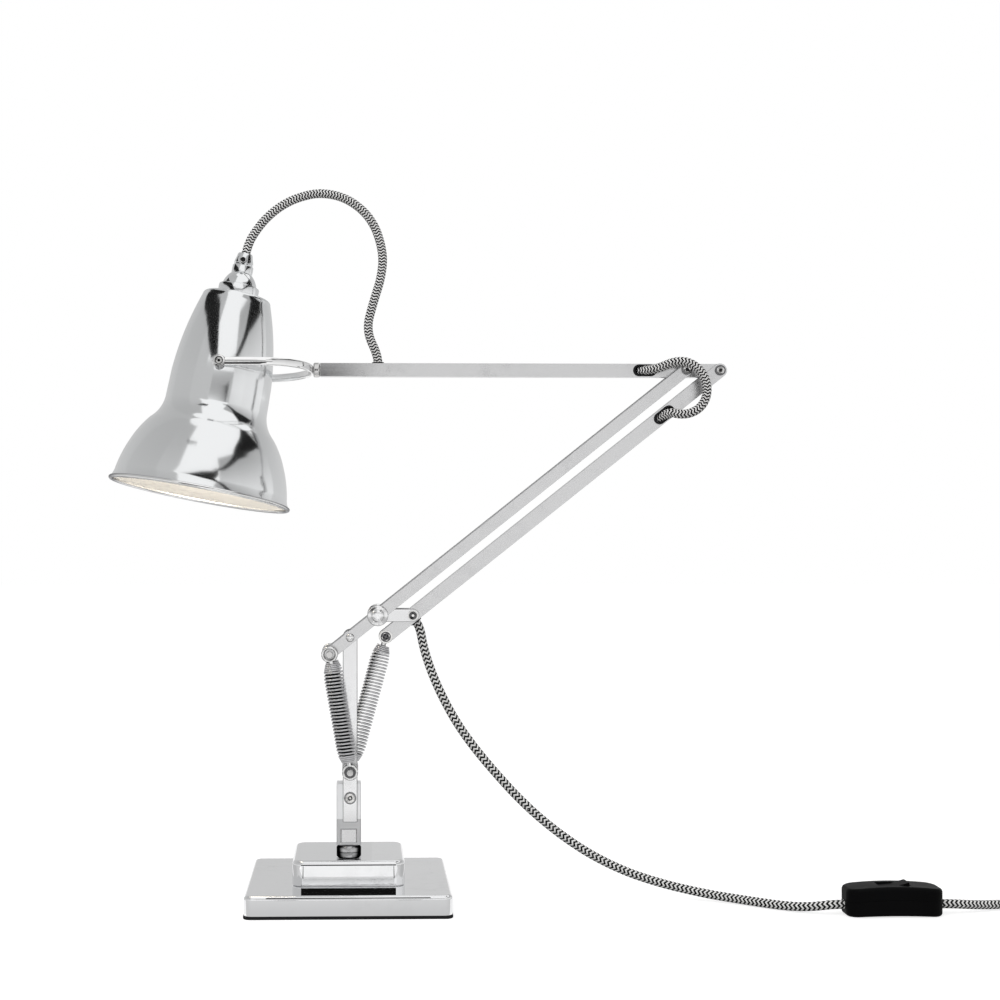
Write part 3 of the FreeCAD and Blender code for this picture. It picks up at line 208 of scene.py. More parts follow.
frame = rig.load()
CAD_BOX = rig.bounds()
MM = 0.001

# Places that the frame gives, in metres
ARM_DIR = Vector((0.78281, 0, 0.62226))
ANCHOR = Vector((1.0, 0, 97.4)) * MM
SPRING_TAIL = Vector((-14.34, 0, 185.30)) * MM
REAR_LOW = Vector((27.79, 0, 197.81)) * MM
LINK_END = Vector((48.145, 0, 213.99)) * MM
BOSS = Vector((21.745, 0, 213.99)) * MM
MAIN_PIVOT = Vector((1.0, 0, 197.5)) * MM
ELBOW = Vector((254.477, 0, 398.985)) * MM
SHADE_PIVOT = Vector((-94.7, 0, 398.985)) * MM
SPRING_SIDE = 18.6 * MM
EYE = (0.00828, -1.3591, 0.28232)

# Shade and fork, in degrees and in millimetres over the shade's rim
SHADE_ROLL, SHADE_TILT, PIVOT_HEIGHT = 4.5, 10.4, 95.5
NECK_R, RIM_R, LID_HEIGHT = 38.6, 67.2, 152.6
FORK_R, FORK_HEIGHT, FORK_THICK = 40.5, 6.2, 2.2
UPPER_RISE = 76.0       # highest angle of the upper arm's joint
SHADE_TURN = (Matrix.Rotation(math.radians(-SHADE_ROLL), 4, "X")
              @ Matrix.Rotation(math.radians(SHADE_TILT), 4, "Y"))
SHADE_PLACE = Matrix.Translation(SHADE_PIVOT) @ SHADE_TURN @ Matrix.Translation((0, 0, -PIVOT_HEIGHT * MM))

# Springs, in metres
OUTER_TURNS, CENTRE_TURNS = 25, 32
CENTRE_SPLIT = 0.55     # share of the centre spring below its joint
EYE_WIRE, SHANK_R, SHADOW_CORE_R = 0.0011, 0.0019, 0.0045

# Edges and meshes, in metres
PIN_EDGE, GROMMET_EDGE, THIN_EDGE = 0.0003, 0.0004, 0.0002
MERGE = 2e-6
FLEX_SIDES = 16


def shade_point(height):
    """Point on the shade's axis, a height in millimetres over its rim."""
    return SHADE_PLACE @ Vector((0, 0, height * MM))


# Routes of the flex, in millimetres, along the frame's solids
SHADE_ROUTE = [
    (-69.7, 9, 507), (-61.7, 9.3, 516.5), (-51.4, 9.3, 524.8), (-39, 9, 531), (-21, 8.2, 535), (0, 7, 530),
    (18, 5.6, 514), (26, 4, 490), (25, 2.8, 471), (18, 1.4, 449), (13, 0.6, 429), (22, 0, 409.985), (22, 0, 403.985),
]
ELBOW_ROUTE = [
    (219.24, -0.72, 398.985), (227.72, -8.35, 398.985), (234, -12.5, 400.5), (245, -18, 405), (256, -20, 404),
    (266, -21, 395), (269, -21, 382), (265, -20, 371), (256.5, -18.5, 365.5), (248, -15.5, 365),
    (241.28, -10.35, 367.51), (234.65, -2.72, 362.24),
]
MAINS_ROUTE = [
    (49.85, 0, 210.24), (53.71, 0, 205.38), (56, -1, 191), (61.5, -2, 173), (70.5, -3, 152), (84, -4, 128),
    (104, -5, 102), (136, -6, 67), (172, -7, 39), (204, -8, 22), (235, -9, 11.5), (268, -18, 5.2), (290, -31.5, 3.9),
    (308, -46, 3.6), (320, -55, 3.7), (330.5, -61.5, 4.3), (341, -66, 5.8), (350, -68, 7.4), (358.5, -68, 7.4),
]
TAIL_ROUTE = [
    (428.5, -68, 7.4), (437, -68, 7.4), (450, -65, 6.1), (465, -59.5, 4.6), (482, -54.2, 3.9), (499, -51.6, 3.8),
]
COIL_CENTRE = (540.0, -10.0)
COIL_R, COIL_STEP, COIL_FLOOR, COIL_LAYER = 41.0, 6.3, 3.75, 6.1
COIL_INWARD, COIL_TURNS, COIL_STATIONS = 3, 6.25, 16
BRAID_LOOSE, BRAID_BENT, BRAID_TIGHT = 0.76, 1.05, 1.1      # stretch of the braid's chevrons along the flex


def coil_place(t):
    """Centre line of the put-away coil after a count of turns: in on one layer, out on the next."""
    half = 0.25
    reverse = COIL_INWARD + half
    past = abs(t - reverse)
    away = past if past > half else past ** 2 / (2 * half) + half / 2
    radius = COIL_R - COIL_STEP * (reverse - away)
    climb = min(1.0, max(0.0, (t - COIL_INWARD) / (2 * half)))
    height = COIL_FLOOR + COIL_LAYER * climb * climb * (3 - 2 * climb)
    angle = 2 * math.pi * (t - 0.25)
    return Vector((COIL_CENTRE[0] + radius * math.cos(angle), COIL_CENTRE[1] + radius * math.sin(angle), height))


class LampSizes(bpy.types.PropertyGroup):
    """Sizes of the lamp's dressed pieces."""

    flex_diameter: bpy.props.FloatProperty(
        name="Flex diameter", description="Outside diameter of the braided flex", default=0.0067, unit="LENGTH")
    braid_pitch: bpy.props.FloatProperty(
        name="Braid pitch", description="Length of one dark and one pale chevron", default=0.0025, unit="LENGTH")
    wire_radius: bpy.props.FloatProperty(
        name="Spring wire", description="Radius of the spring wire", default=0.0007, unit="LENGTH")
    spring_radius: bpy.props.FloatProperty(
        name="Spring radius", description="Mean radius of the springs' turns", default=0.0067, unit="LENGTH")
    plinth_corner: bpy.props.FloatProperty(
        name="Plinth corner", description="Corner radius of the plinth", default=0.006, unit="LENGTH")
    plinth_edge: bpy.props.FloatProperty(
        name="Plinth edge", description="Rounding of the plinth's upper edge", default=0.003, unit="LENGTH")
    riser_corner: bpy.props.FloatProperty(
        name="Riser corner", description="Corner radius of the riser", default=0.0085, unit="LENGTH")
    riser_edge: bpy.props.FloatProperty(
        name="Riser edge", description="Rounding of the riser's upper edge", default=0.0035, unit="LENGTH")
    bar_edge: bpy.props.FloatProperty(
        name="Bar edge", description="Broken edge of the flat bars", default=0.0005, unit="LENGTH")
    moulded_edge: bpy.props.FloatProperty(
        name="Moulded edge", description="Rounding of the switch and plug mouldings", default=0.0012, unit="LENGTH")


class LampColours(bpy.types.PropertyGroup):
    """Colours of the lamp's finishes."""

    chrome: bpy.props.FloatVectorProperty(
        name="Chrome", description="Bright plating of shade and base", default=(0.90, 0.905, 0.915),
        min=0, max=1, subtype="COLOR")
    bar: bpy.props.FloatVectorProperty(
        name="Bar plating", description="Softer plating of the arms' bars", default=(0.68, 0.68, 0.685),
        min=0, max=1, subtype="COLOR")
    wire: bpy.props.FloatVectorProperty(
        name="Spring wire", description="Bright drawn wire", default=(0.95, 0.95, 0.95),
        min=0, max=1, subtype="COLOR")
    enamel: bpy.props.FloatVectorProperty(
        name="Shade lining", description="Warm white enamel inside the shade", default=(0.93, 0.905, 0.86),
        min=0, max=1, subtype="COLOR")
    glow: bpy.props.FloatVectorProperty(
        name="Bulb glow", description="Light of the opal bulb", default=(1.0, 0.95, 0.87),
        min=0, max=1, subtype="COLOR")
    yarn_dark: bpy.props.FloatVectorProperty(
        name="Dark yarn", description="Black yarn of the braid", default=(0.006, 0.006, 0.0065),
        min=0, max=1, subtype="COLOR")
    yarn_pale: bpy.props.FloatVectorProperty(
        name="Pale yarn", description="Undyed yarn of the braid", default=(0.94, 0.937, 0.925),
        min=0, max=1, subtype="COLOR")
    moulding: bpy.props.FloatVectorProperty(
        name="Moulding", description="Black plastic of switch and plug", default=(0.002, 0.002, 0.0022),
        min=0, max=1, subtype="COLOR")


class LampStudio(bpy.types.PropertyGroup):
    """Camera and light of the studio."""

    eye: bpy.props.FloatVectorProperty(
        name="Eye", description="Place of the camera", default=EYE, subtype="TRANSLATION", unit="LENGTH")
    lens: bpy.props.FloatProperty(name="Lens", description="Focal length in millimetres", default=64.67)
    yaw: bpy.props.FloatProperty(
        name="Yaw", description="Turn of the camera to the right", default=math.radians(1.6), unit="ROTATION")
    shift: bpy.props.FloatVectorProperty(
        name="Shift", description="Sideways and upward lens shift", default=(0.09, 0.0245), size=2)
    daylight: bpy.props.FloatProperty(
        name="Room light", description="Light that the white room gives", default=0.55)
    key: bpy.props.FloatProperty(
        name="Key lamp", description="Power of the large soft lamp", default=14.0, unit="POWER")
    floor_glow: bpy.props.FloatProperty(
        name="Floor white", description="Share of the floor's white that shadows can't darken", default=0.74,
        min=0, max=1, subtype="FACTOR")


def sizes():
    """Sizes that the panel shows."""
    return bpy.context.scene.lamp_sizes


def colours():
    """Colours that the panel shows."""
    return bpy.context.scene.lamp_colours


def studio():
    """Settings of the studio that the panel shows."""
    return bpy.context.scene.lamp_studio


# Finishes ---------------------------------------------------------------------------------------------------------

def link(tree, a, b):
    """Join an output to an input."""
    tree.links.new(a, b)


def node(tree, kind, **values):
    """New shader node with some of its fields and sockets set."""
    made = tree.nodes.new(kind)
    for name, value in values.items():
        if name in made.inputs:
            made.inputs[name].default_value = value
        else:
            setattr(made, name, value)
    return made


def maths(tree, operation, a, b=0.5, clamp=False):
    """Math node over sockets or numbers; gives its output."""
    made = tree.nodes.new("ShaderNodeMath")
    made.operation = operation
    made.use_clamp = clamp
    for slot, value in zip(made.inputs, (a, b)):
        if isinstance(value, (int, float)):
            slot.default_value = value
        else:
            link(tree, value, slot)
    return made.outputs[0]


def own_place(tree):
    """Object coordinates of the piece."""
    return tree.nodes.new("ShaderNodeTexCoord").outputs["Object"]


def parts_of(tree, vector):
    """X, Y and Z of a vector."""
    made = tree.nodes.new("ShaderNodeSeparateXYZ")
    link(tree, vector, made.inputs[0])
    return made.outputs


def normal_parts(tree):
    """X, Y and Z of the surface's normal."""
    return parts_of(tree, tree.nodes.new("ShaderNodeNewGeometry").outputs["Normal"])


def noise(tree, vector, scale, **values):
    """Noise over a vector, at a scale from a socket."""
    made = node(tree, "ShaderNodeTexNoise", **values)
    link(tree, vector, made.inputs["Vector"])
    link(tree, scale, made.inputs["Scale"])
    return made.outputs["Fac"]


def spread(tree, value, low, high):
    """Maps a 0 to 1 value onto a range."""
    made = node(tree, "ShaderNodeMapRange")
    link(tree, value, made.inputs["Value"])
    made.inputs["To Min"].default_value = low
    made.inputs["To Max"].default_value = high
    return made.outputs["Result"]


def window(tree, value, low, high):
    """Smooth step of a value between two levels."""
    made = node(tree, "ShaderNodeMapRange", interpolation_type="SMOOTHSTEP")
    link(tree, value, made.inputs["Value"])
    made.inputs["From Min"].default_value = low
    made.inputs["From Max"].default_value = high
    return made.outputs["Result"]


def tint(tree, factor, a, b, way="MIX"):
    """Colour mix; a and b are colours or sockets."""
    made = node(tree, "ShaderNodeMix", data_type="RGBA", blend_type=way)
    link(tree, factor, made.inputs[0])
    for slot, value in ((made.inputs[6], a), (made.inputs[7], b)):
        if isinstance(value, bpy.types.NodeSocket):
            link(tree, value, slot)
        else:
            slot.default_value = (*value[:3], 1.0)
    return made.outputs[2]


def new_group(name, takes, gives):
    """Empty shader node group with named float inputs and outputs; gives tree, inputs and outputs."""
    tree = bpy.data.node_groups.new(name, "ShaderNodeTree")
    for label, value in takes:
        made = tree.interface.new_socket(name=label, in_out="INPUT", socket_type="NodeSocketFloat")
        made.default_value = value
    for label, kind in gives:
        tree.interface.new_socket(name=label, in_out="OUTPUT", socket_type=kind)
    return tree, tree.nodes.new("NodeGroupInput").outputs, tree.nodes.new("NodeGroupOutput").inputs


def marks_group():
    """Finger marks and faint haze on bright metal: a soft mask and a slow ripple."""
    tree, takes, gives = new_group(
        "Handling marks", [("Scale", 40.0), ("Patch", 8.0)],
        [("Mask", "NodeSocketFloat"), ("Ripple", "NodeSocketFloat")])
    place = own_place(tree)
    fine = noise(tree, place, takes["Scale"], Detail=4.0, Roughness=0.6)
    broad = noise(tree, place, takes["Patch"], Detail=2.0, Roughness=0.5)
    patch = window(tree, broad, 0.42, 0.68)
    speck = window(tree, fine, 0.38, 0.72)
    link(tree, maths(tree, "MULTIPLY", patch, speck), gives["Mask"])
    link(tree, broad, gives["Ripple"])
    return tree


def grain_group():
    """Polishing lines drawn out along X, Y or Z: a value for roughness and height."""
    tree, takes, gives = new_group(
        "Polishing lines", [("Scale", 900.0), ("Lean", 0.0), ("Along X", 1.0), ("Along Y", 1.0), ("Along Z", 0.03)],
        [("Lines", "NodeSocketFloat")])
    stretch = tree.nodes.new("ShaderNodeCombineXYZ")
    for axis in "XYZ":
        link(tree, takes["Along " + axis], stretch.inputs[axis])
    scaled = node(tree, "ShaderNodeVectorMath", operation="MULTIPLY")
    leaning = node(tree, "ShaderNodeVectorRotate", rotation_type="Y_AXIS")
    link(tree, own_place(tree), leaning.inputs["Vector"])
    link(tree, takes["Lean"], leaning.inputs["Angle"])
    link(tree, leaning.outputs[0], scaled.inputs[0])
    link(tree, stretch.outputs[0], scaled.inputs[1])
    link(tree, noise(tree, scaled.outputs[0], takes["Scale"], Detail=3.0, Roughness=0.65), gives["Lines"])
    return tree


def dust_group():
    """Settled dust on faces that look up: a thin speckled mask."""
    tree, takes, gives = new_group(
        "Settled dust", [("Scale", 260.0), ("Amount", 0.15)], [("Mask", "NodeSocketFloat")])
    grains = noise(tree, own_place(tree), takes["Scale"], Detail=5.0, Roughness=0.7)
    lying = window(tree, normal_parts(tree)["Z"], 0.55, 0.95)
    mask = maths(tree, "MULTIPLY", lying, window(tree, grains, 0.48, 0.75))
    link(tree, maths(tree, "MULTIPLY", mask, takes["Amount"]), gives["Mask"])
    return tree


def pores_group():
    """Spark-eroded grain of a moulding, or the bloom of rubber: a value for colour, roughness and height."""
    tree, takes, gives = new_group(
        "Moulded grain", [("Scale", 1400.0), ("Bloom", 30.0)],
        [("Grain", "NodeSocketFloat"), ("Bloom", "NodeSocketFloat")])
    place = own_place(tree)
    cells = node(tree, "ShaderNodeTexVoronoi", feature="SMOOTH_F1")
    link(tree, place, cells.inputs["Vector"])
    link(tree, takes["Scale"], cells.inputs["Scale"])
    link(tree, cells.outputs["Distance"], gives["Grain"])
    link(tree, noise(tree, place, takes["Bloom"], Detail=3.0), gives["Bloom"])
    return tree


def braid_group():
    """Two-colour chevron braid over the flex's UV: u in metres along it, v once round it."""
    tree, takes, gives = new_group(
        "Chevron braid", [("Pitch", 0.0028), ("Points", 5.0), ("Rise", 0.55)],
        [("Pale", "NodeSocketFloat"), ("Height", "NodeSocketFloat"), ("Fuzz", "NodeSocketFloat")])
    uv = parts_of(tree, tree.nodes.new("ShaderNodeUVMap").outputs["UV"])
    along = maths(tree, "DIVIDE", uv["X"], takes["Pitch"])
    round_it = maths(tree, "MULTIPLY", uv["Y"], takes["Points"])
    zigzag = maths(tree, "MULTIPLY", maths(tree, "PINGPONG", round_it, 0.5), 2.0)
    bent = maths(tree, "ADD", along, maths(tree, "MULTIPLY", zigzag, takes["Rise"]))
    wave = maths(tree, "SINE", maths(tree, "MULTIPLY", bent, 2 * math.pi))
    fibres = node(tree, "ShaderNodeTexNoise", Scale=2600.0, Detail=2.0)
    link(tree, own_place(tree), fibres.inputs["Vector"])
    fuzz = maths(tree, "SUBTRACT", fibres.outputs["Fac"], 0.5)
    frayed = maths(tree, "ADD", wave, maths(tree, "MULTIPLY", fuzz, 0.3))
    link(tree, window(tree, frayed, 0.0, 0.22), gives["Pale"])
    plump = maths(tree, "ABSOLUTE", wave)
    leg = maths(tree, "ABSOLUTE", maths(tree, "SUBTRACT", maths(tree, "MULTIPLY", zigzag, 2.0), 1.0))
    dip = maths(tree, "SUBTRACT", 1.0, maths(tree, "POWER", leg, 6.0))
    link(tree, maths(tree, "MULTIPLY", plump, dip), gives["Height"])
    link(tree, fibres.outputs["Fac"], gives["Fuzz"])
    return tree


GROUPS = {
    "marks": ("Handling marks", marks_group), "grain": ("Polishing lines", grain_group),
    "dust": ("Settled dust", dust_group), "pores": ("Moulded grain", pores_group),
    "braid": ("Chevron braid", braid_group),
}


def placed(tree, name, **values):
    """One of the groups, built the first time that it is asked for, placed with its own values."""
    label, make = GROUPS[name]
    made = tree.nodes.new("ShaderNodeGroup")
    made.node_tree = bpy.data.node_groups.get(label) or make()
    for key, value in values.items():
        made.inputs[key.replace("_", " ")].default_value = value
    return made.outputs


def start(name, **constants):
    """New material with its Principled shader; constants go on the shader's own sockets."""
    made = bpy.data.materials.new(name)
    made.use_nodes = True
    shader = made.node_tree.nodes["Principled BSDF"]
    for key, value in constants.items():
        shader.inputs[key.replace("_", " ")].default_value = value
    return made, made.node_tree, shader.inputs


def bump(tree, into, height, strength, distance):
    """Bump node on a height, into the shader's Normal."""
    made = node(tree, "ShaderNodeBump", Strength=strength, Distance=distance)
    link(tree, height, made.inputs["Height"])
    link(tree, made.outputs["Normal"], into["Normal"])


def shade_of(colour, share):
    """A colour made darker or brighter by a share."""
    return tuple(c * share for c in colour)


def bright_plate(name, colour, gloss, haze, dusty=0.10):
    """Mirror plating with finger marks, a slow ripple and a breath of dust."""
    made, tree, into = start(name, Metallic=1.0)
    marks = placed(tree, "marks", Scale=85.0, Patch=14.0)
    dust = placed(tree, "dust", Scale=320.0, Amount=dusty)
    plate = tint(tree, marks["Mask"], colour, shade_of(colour, 0.93))
    link(tree, tint(tree, dust["Mask"], plate, (0.62, 0.61, 0.59)), into["Base Color"])
    rough = maths(tree, "ADD", spread(tree, marks["Mask"], gloss, haze), maths(tree, "MULTIPLY", dust["Mask"], 0.6))
    link(tree, rough, into["Roughness"])
    bump(tree, into, marks["Ripple"], 0.004, 0.0008)
    return made


def stepped_plate(name, low, high, level):
    """Satin plating on a block, its colour darker below a level."""
    made, tree, into = start(name, Metallic=1.0)
    marks = placed(tree, "marks", Scale=90.0, Patch=18.0)
    step = window(tree, parts_of(tree, own_place(tree))["Z"], level - 0.0003, level + 0.0003)
    face = tint(tree, step, low, high)
    link(tree, tint(tree, maths(tree, "MULTIPLY", marks["Mask"], 0.4), face, shade_of(low, 0.9)), into["Base Color"])
    link(tree, spread(tree, marks["Mask"], 0.28, 0.40), into["Roughness"])
    return made


def edge_shaded_plate(name, colour, dark, gloss, haze, begin=0.25, end=0.85):
    """Round plated wire and small turned parts, with a painted dark reflection: colour bright where they face the eye,
    darkened where they turn away.
    """
    made, tree, into = start(name, Metallic=1.0, Specular_Tint=(0.35, 0.35, 0.36, 1.0))
    marks = placed(tree, "marks", Scale=140.0, Patch=30.0)
    turn = node(tree, "ShaderNodeLayerWeight", Blend=0.5).outputs["Facing"]
    face = tint(tree, marks["Mask"], colour, shade_of(colour, 0.86))
    # painted reflection: the base colour darkens towards grazing angles
    link(tree, tint(tree, window(tree, turn, begin, end), face, dark), into["Base Color"])
    link(tree, spread(tree, marks["Mask"], gloss, haze), into["Roughness"])
    bump(tree, into, marks["Ripple"], 0.012, 0.0005)
    return made


def wound_plate(name, colour, dark):
    """Round spring wire with painted shade: colour bright above, darkened below where it faces the front and the right.
    """
    made, tree, into = start(name, Metallic=1.0, Specular_Tint=(0.8, 0.8, 0.8, 1.0))
    marks = placed(tree, "marks", Scale=140.0, Patch=30.0)
    way = normal_parts(tree)
    # painted shade: darker where the normal points down and towards the front and right
    under = maths(tree, "SUBTRACT", 1.0, window(tree, way["Z"], -0.75, -0.25))
    painted_shade = maths(tree, "MULTIPLY", under, spread(tree, window(tree, way["X"], -0.75, -0.3), 0.3, 1.0))
    face = tint(tree, marks["Mask"], colour, shade_of(colour, 0.88))
    link(tree, tint(tree, painted_shade, face, dark), into["Base Color"])
    link(tree, spread(tree, marks["Mask"], 0.30, 0.42), into["Roughness"])
    return made


def drawn_plate(name, colour, low, high, along, lean=0.0, dusty=0.10):
    """Plated bar with polishing lines along it."""
    made, tree, into = start(name, Metallic=1.0)
    lines = placed(tree, "grain", Scale=1500.0, Lean=lean, Along_X=along[0], Along_Y=along[1], Along_Z=along[2])
    marks = placed(tree, "marks", Scale=120.0, Patch=22.0)
    dust = placed(tree, "dust", Scale=380.0, Amount=dusty)
    tone = tint(tree, lines["Lines"], shade_of(colour, 0.97), shade_of(colour, 1.02))
    tone = tint(tree, marks["Mask"], tone, shade_of(colour, 0.95))
    link(tree, tint(tree, dust["Mask"], tone, (0.6, 0.59, 0.57)), into["Base Color"])
    rough = maths(tree, "ADD", spread(tree, lines["Lines"], low, high), maths(tree, "MULTIPLY", marks["Mask"], 0.06))
    link(tree, rough, into["Roughness"])
    bump(tree, into, lines["Lines"], 0.05, 0.0001)
    return made


def moulded(name, colour, low, high, grain=1400.0, relief=0.12):
    """Black plastic or rubber with a fine moulded grain and a faint bloom."""
    made, tree, into = start(name, Specular_IOR_Level=0.04)
    pores = placed(tree, "pores", Scale=grain, Bloom=45.0)
    dust = placed(tree, "dust", Scale=420.0, Amount=0.02)
    tone = tint(tree, pores["Bloom"], colour, shade_of(colour, 1.6))
    link(tree, tint(tree, dust["Mask"], tone, (0.20, 0.195, 0.19)), into["Base Color"])
    link(tree, spread(tree, pores["Bloom"], low, high), into["Roughness"])
    bump(tree, into, pores["Grain"], relief, 0.0002)
    return made


def lining(name, colour):
    """Warm white stove enamel, a little uneven, inside the shade."""
    made, tree, into = start(name, Coat_Roughness=0.12)
    marks = placed(tree, "marks", Scale=60.0, Patch=20.0)
    pores = placed(tree, "pores", Scale=420.0, Bloom=70.0)
    link(tree, tint(tree, pores["Bloom"], shade_of(colour, 0.97), shade_of(colour, 1.02)), into["Base Color"])
    link(tree, spread(tree, marks["Mask"], 0.32, 0.42), into["Roughness"])
    link(tree, spread(tree, marks["Ripple"], 0.25, 0.40), into["Coat Weight"])
    bump(tree, into, pores["Grain"], 0.03, 0.0003)
    return made


def opal(name, glow):
    """Opal glass of the bulb, lit, with a faint bloom."""
    made, tree, into = start(name, Roughness=0.28, Emission_Strength=4.8)
    pores = placed(tree, "pores", Scale=300.0, Bloom=60.0)
    link(tree, tint(tree, pores["Bloom"], shade_of(glow, 0.86), glow), into["Emission Color"])
    link(tree, tint(tree, pores["Bloom"], (0.86, 0.85, 0.82), (0.92, 0.91, 0.89)), into["Base Color"])
    return made


def braid(name, dark, pale, pitch):
    """Braided cover of the flex: chevrons of black and undyed yarn, plump and a little frayed."""
    made, tree, into = start(name, Specular_IOR_Level=0.2, Sheen_Weight=0.06, Sheen_Roughness=0.5)
    weave = placed(tree, "braid", Pitch=pitch)
    yarn = tint(tree, weave["Fuzz"], shade_of(pale, 0.92), shade_of(pale, 1.06))
    link(tree, tint(tree, weave["Pale"], dark, yarn), into["Base Color"])
    link(tree, spread(tree, weave["Fuzz"], 0.65, 0.9), into["Roughness"])
    height = maths(tree, "ADD", weave["Height"], maths(tree, "MULTIPLY", weave["Fuzz"], 0.5))
    bump(tree, into, height, 0.55, 0.0004)
    return made


def cast(name, colour, low, high, metal):
    """Plain inner metals and ceramic: mottled colour, uneven roughness and a cast grain."""
    made, tree, into = start(name, Metallic=metal)
    pores = placed(tree, "pores", Scale=700.0, Bloom=80.0)
    link(tree, tint(tree, pores["Bloom"], shade_of(colour, 0.82), shade_of(colour, 1.1)), into["Base Color"])
    link(tree, spread(tree, pores["Bloom"], low, high), into["Roughness"])
    bump(tree, into, pores["Grain"], 0.08, 0.0002)
    return made


def finish_of(name):
    """A finish by its name, made the first time that it is asked for."""
    if name in bpy.data.materials:
        return bpy.data.materials[name]
    c = colours()
    lean = math.atan2(ARM_DIR.z, ARM_DIR.x)
    lengthwise = (0.012, 1.0, 1.0)
    makers = {
        "chrome": lambda: bright_plate(name, c.chrome, 0.006, 0.022, 0.05),
        "base_chrome": lambda: bright_plate(name, shade_of(c.chrome, 0.97), 0.02, 0.07, 0.12),
        "post_plate": lambda: drawn_plate(name, shade_of(c.bar, 1.25), 0.10, 0.18, (1.0, 1.0, 0.012)),
        "bar_plate": lambda: drawn_plate(name, c.bar, 0.20, 0.30, lengthwise, lean, 0.03),
        "arm_plate": lambda: drawn_plate(name, c.bar, 0.18, 0.28, lengthwise, 0.0, 0.03),
        "fork_plate": lambda: drawn_plate(name, (0.94, 0.94, 0.94), 0.05, 0.12, lengthwise),
        "swivel_plate": lambda: stepped_plate(name, shade_of(c.chrome, 0.64), c.chrome, 0.0609),
        "panel_plate": lambda: bright_plate(name, (0.78, 0.78, 0.785), 0.22, 0.32, 0.05),
        # dark grey that paints shade along broken bar edges and in the block's grooves; the clamp bolt is finished in
        # it too
        "edge_line": lambda: bright_plate(name, (0.30, 0.30, 0.305), 0.15, 0.3),
        "turned_steel": lambda: bright_plate(name, (0.66, 0.655, 0.65), 0.12, 0.24),
        # collar, rim, eye and boss plates carry a painted dark reflection at their edges; the collar's chrome is also
        # painted darker
        "collar_plate": lambda: edge_shaded_plate(name, (0.46, 0.46, 0.465), (0.006, 0.006, 0.006), 0.16, 0.26, 0.10, 0.34),
        "rim_plate": lambda: edge_shaded_plate(name, (0.90, 0.90, 0.90), (0.72, 0.72, 0.72), 0.10, 0.18, 0.45, 0.97),
        "eye_plate": lambda: edge_shaded_plate(name, (0.86, 0.86, 0.86), (0.05, 0.05, 0.05), 0.08, 0.2, 0.2, 0.75),
        "boss_plate": lambda: edge_shaded_plate(name, (0.92, 0.92, 0.925), (0.40, 0.40, 0.40), 0.20, 0.30, 0.10, 0.70),
        # near-black painted shade for the springs' inner faces and the cores inside them
        "spring_shadow": lambda: bright_plate(name, (0.010, 0.010, 0.010), 0.35, 0.55),
        # near-black painted shade for sockets, dimples and recesses cut into pins and screws
        "recess": lambda: bright_plate(name, (0.030, 0.030, 0.031), 0.3, 0.5),
        "dark_steel": lambda: bright_plate(name, (0.14, 0.14, 0.145), 0.22, 0.36),
        "spring_wire": lambda: wound_plate(name, c.wire, (0.006, 0.006, 0.006)),
        "rubber": lambda: moulded(name, (0.016, 0.016, 0.017), 0.55, 0.78, 900.0, 0.10),
        "moulding": lambda: moulded(name, c.moulding, 0.34, 0.52),
        "enamel": lambda: lining(name, c.enamel),
        "opal": lambda: opal(name, c.glow),
        "braid": lambda: braid(name, c.yarn_dark, c.yarn_pale, sizes().braid_pitch),
        "brass": lambda: cast(name, (0.72, 0.50, 0.20), 0.22, 0.38, 1.0),
        "iron": lambda: cast(name, (0.075, 0.075, 0.078), 0.5, 0.7, 1.0),
        "ceramic": lambda: cast(name, (0.82, 0.80, 0.76), 0.22, 0.34, 0.0),
        "pin_plate": lambda: bright_plate(name, (0.88, 0.875, 0.86), 0.24, 0.36),
    }
    return makers[name]()


# Modelling --------------------------------------------------------------------------------------------------------

def clear():
    """Object mode with nothing selected."""
    if bpy.context.object and bpy.context.object.mode != "OBJECT":
        bpy.ops.object.mode_set(mode="OBJECT")
    bpy.ops.object.select_all(action="DESELECT")


def only(piece):
    """Select one piece alone and make it the active one."""
    clear()
    piece.select_set(True)
    bpy.context.view_layer.objects.active = piece


def named(name):
    """Name the piece that a primitive has just added."""
    piece = bpy.context.object
    piece.name = piece.data.name = name
    return piece


def placed_mesh(name, mesh):
    """Piece with a mesh of its own, alone selected in the scene."""
    piece = bpy.data.objects.new(name, mesh)
    bpy.context.scene.collection.objects.link(piece)
    only(piece)
    return piece


def edit_all(piece):
    """Edit mode with the whole of a piece selected."""
    only(piece)
    bpy.ops.object.mode_set(mode="EDIT")
    bpy.ops.mesh.select_all(action="SELECT")


def face_out(piece):
    """Turn a closed piece's faces outwards."""
    edit_all(piece)
    bpy.ops.mesh.normals_make_consistent(inside=False)
    bpy.ops.object.mode_set(mode="OBJECT")


def dress(piece, *finishes):
    """Give a piece its finishes, in the order of its material slots."""
    piece.data.materials.clear()
    for name in finishes:
        piece.data.materials.append(finish_of(name))
    return piece


def pick(piece, kind, test):
    """Edit mode with only the faces, edges or vertices that pass a test selected."""
    only(piece)
    bpy.ops.object.mode_set(mode="EDIT")
    bpy.ops.mesh.select_mode(type=kind)
    bpy.ops.mesh.select_all(action="DESELECT")
    shape = bmesh.from_edit_mesh(piece.data)
    for item in {"FACE": shape.faces, "EDGE": shape.edges, "VERT": shape.verts}[kind]:
        if test(item):
            item.select_set(True)
    shape.select_flush_mode()
    bmesh.update_edit_mesh(piece.data)


def apply_modifier(piece, kind, **values):
    """Add a modifier with some of its fields set and apply it."""
    only(piece)
    made = piece.modifiers.new(kind.title(), kind)
    for name, value in values.items():
        setattr(made, name, value)
    bpy.ops.object.modifier_apply(modifier=made.name)


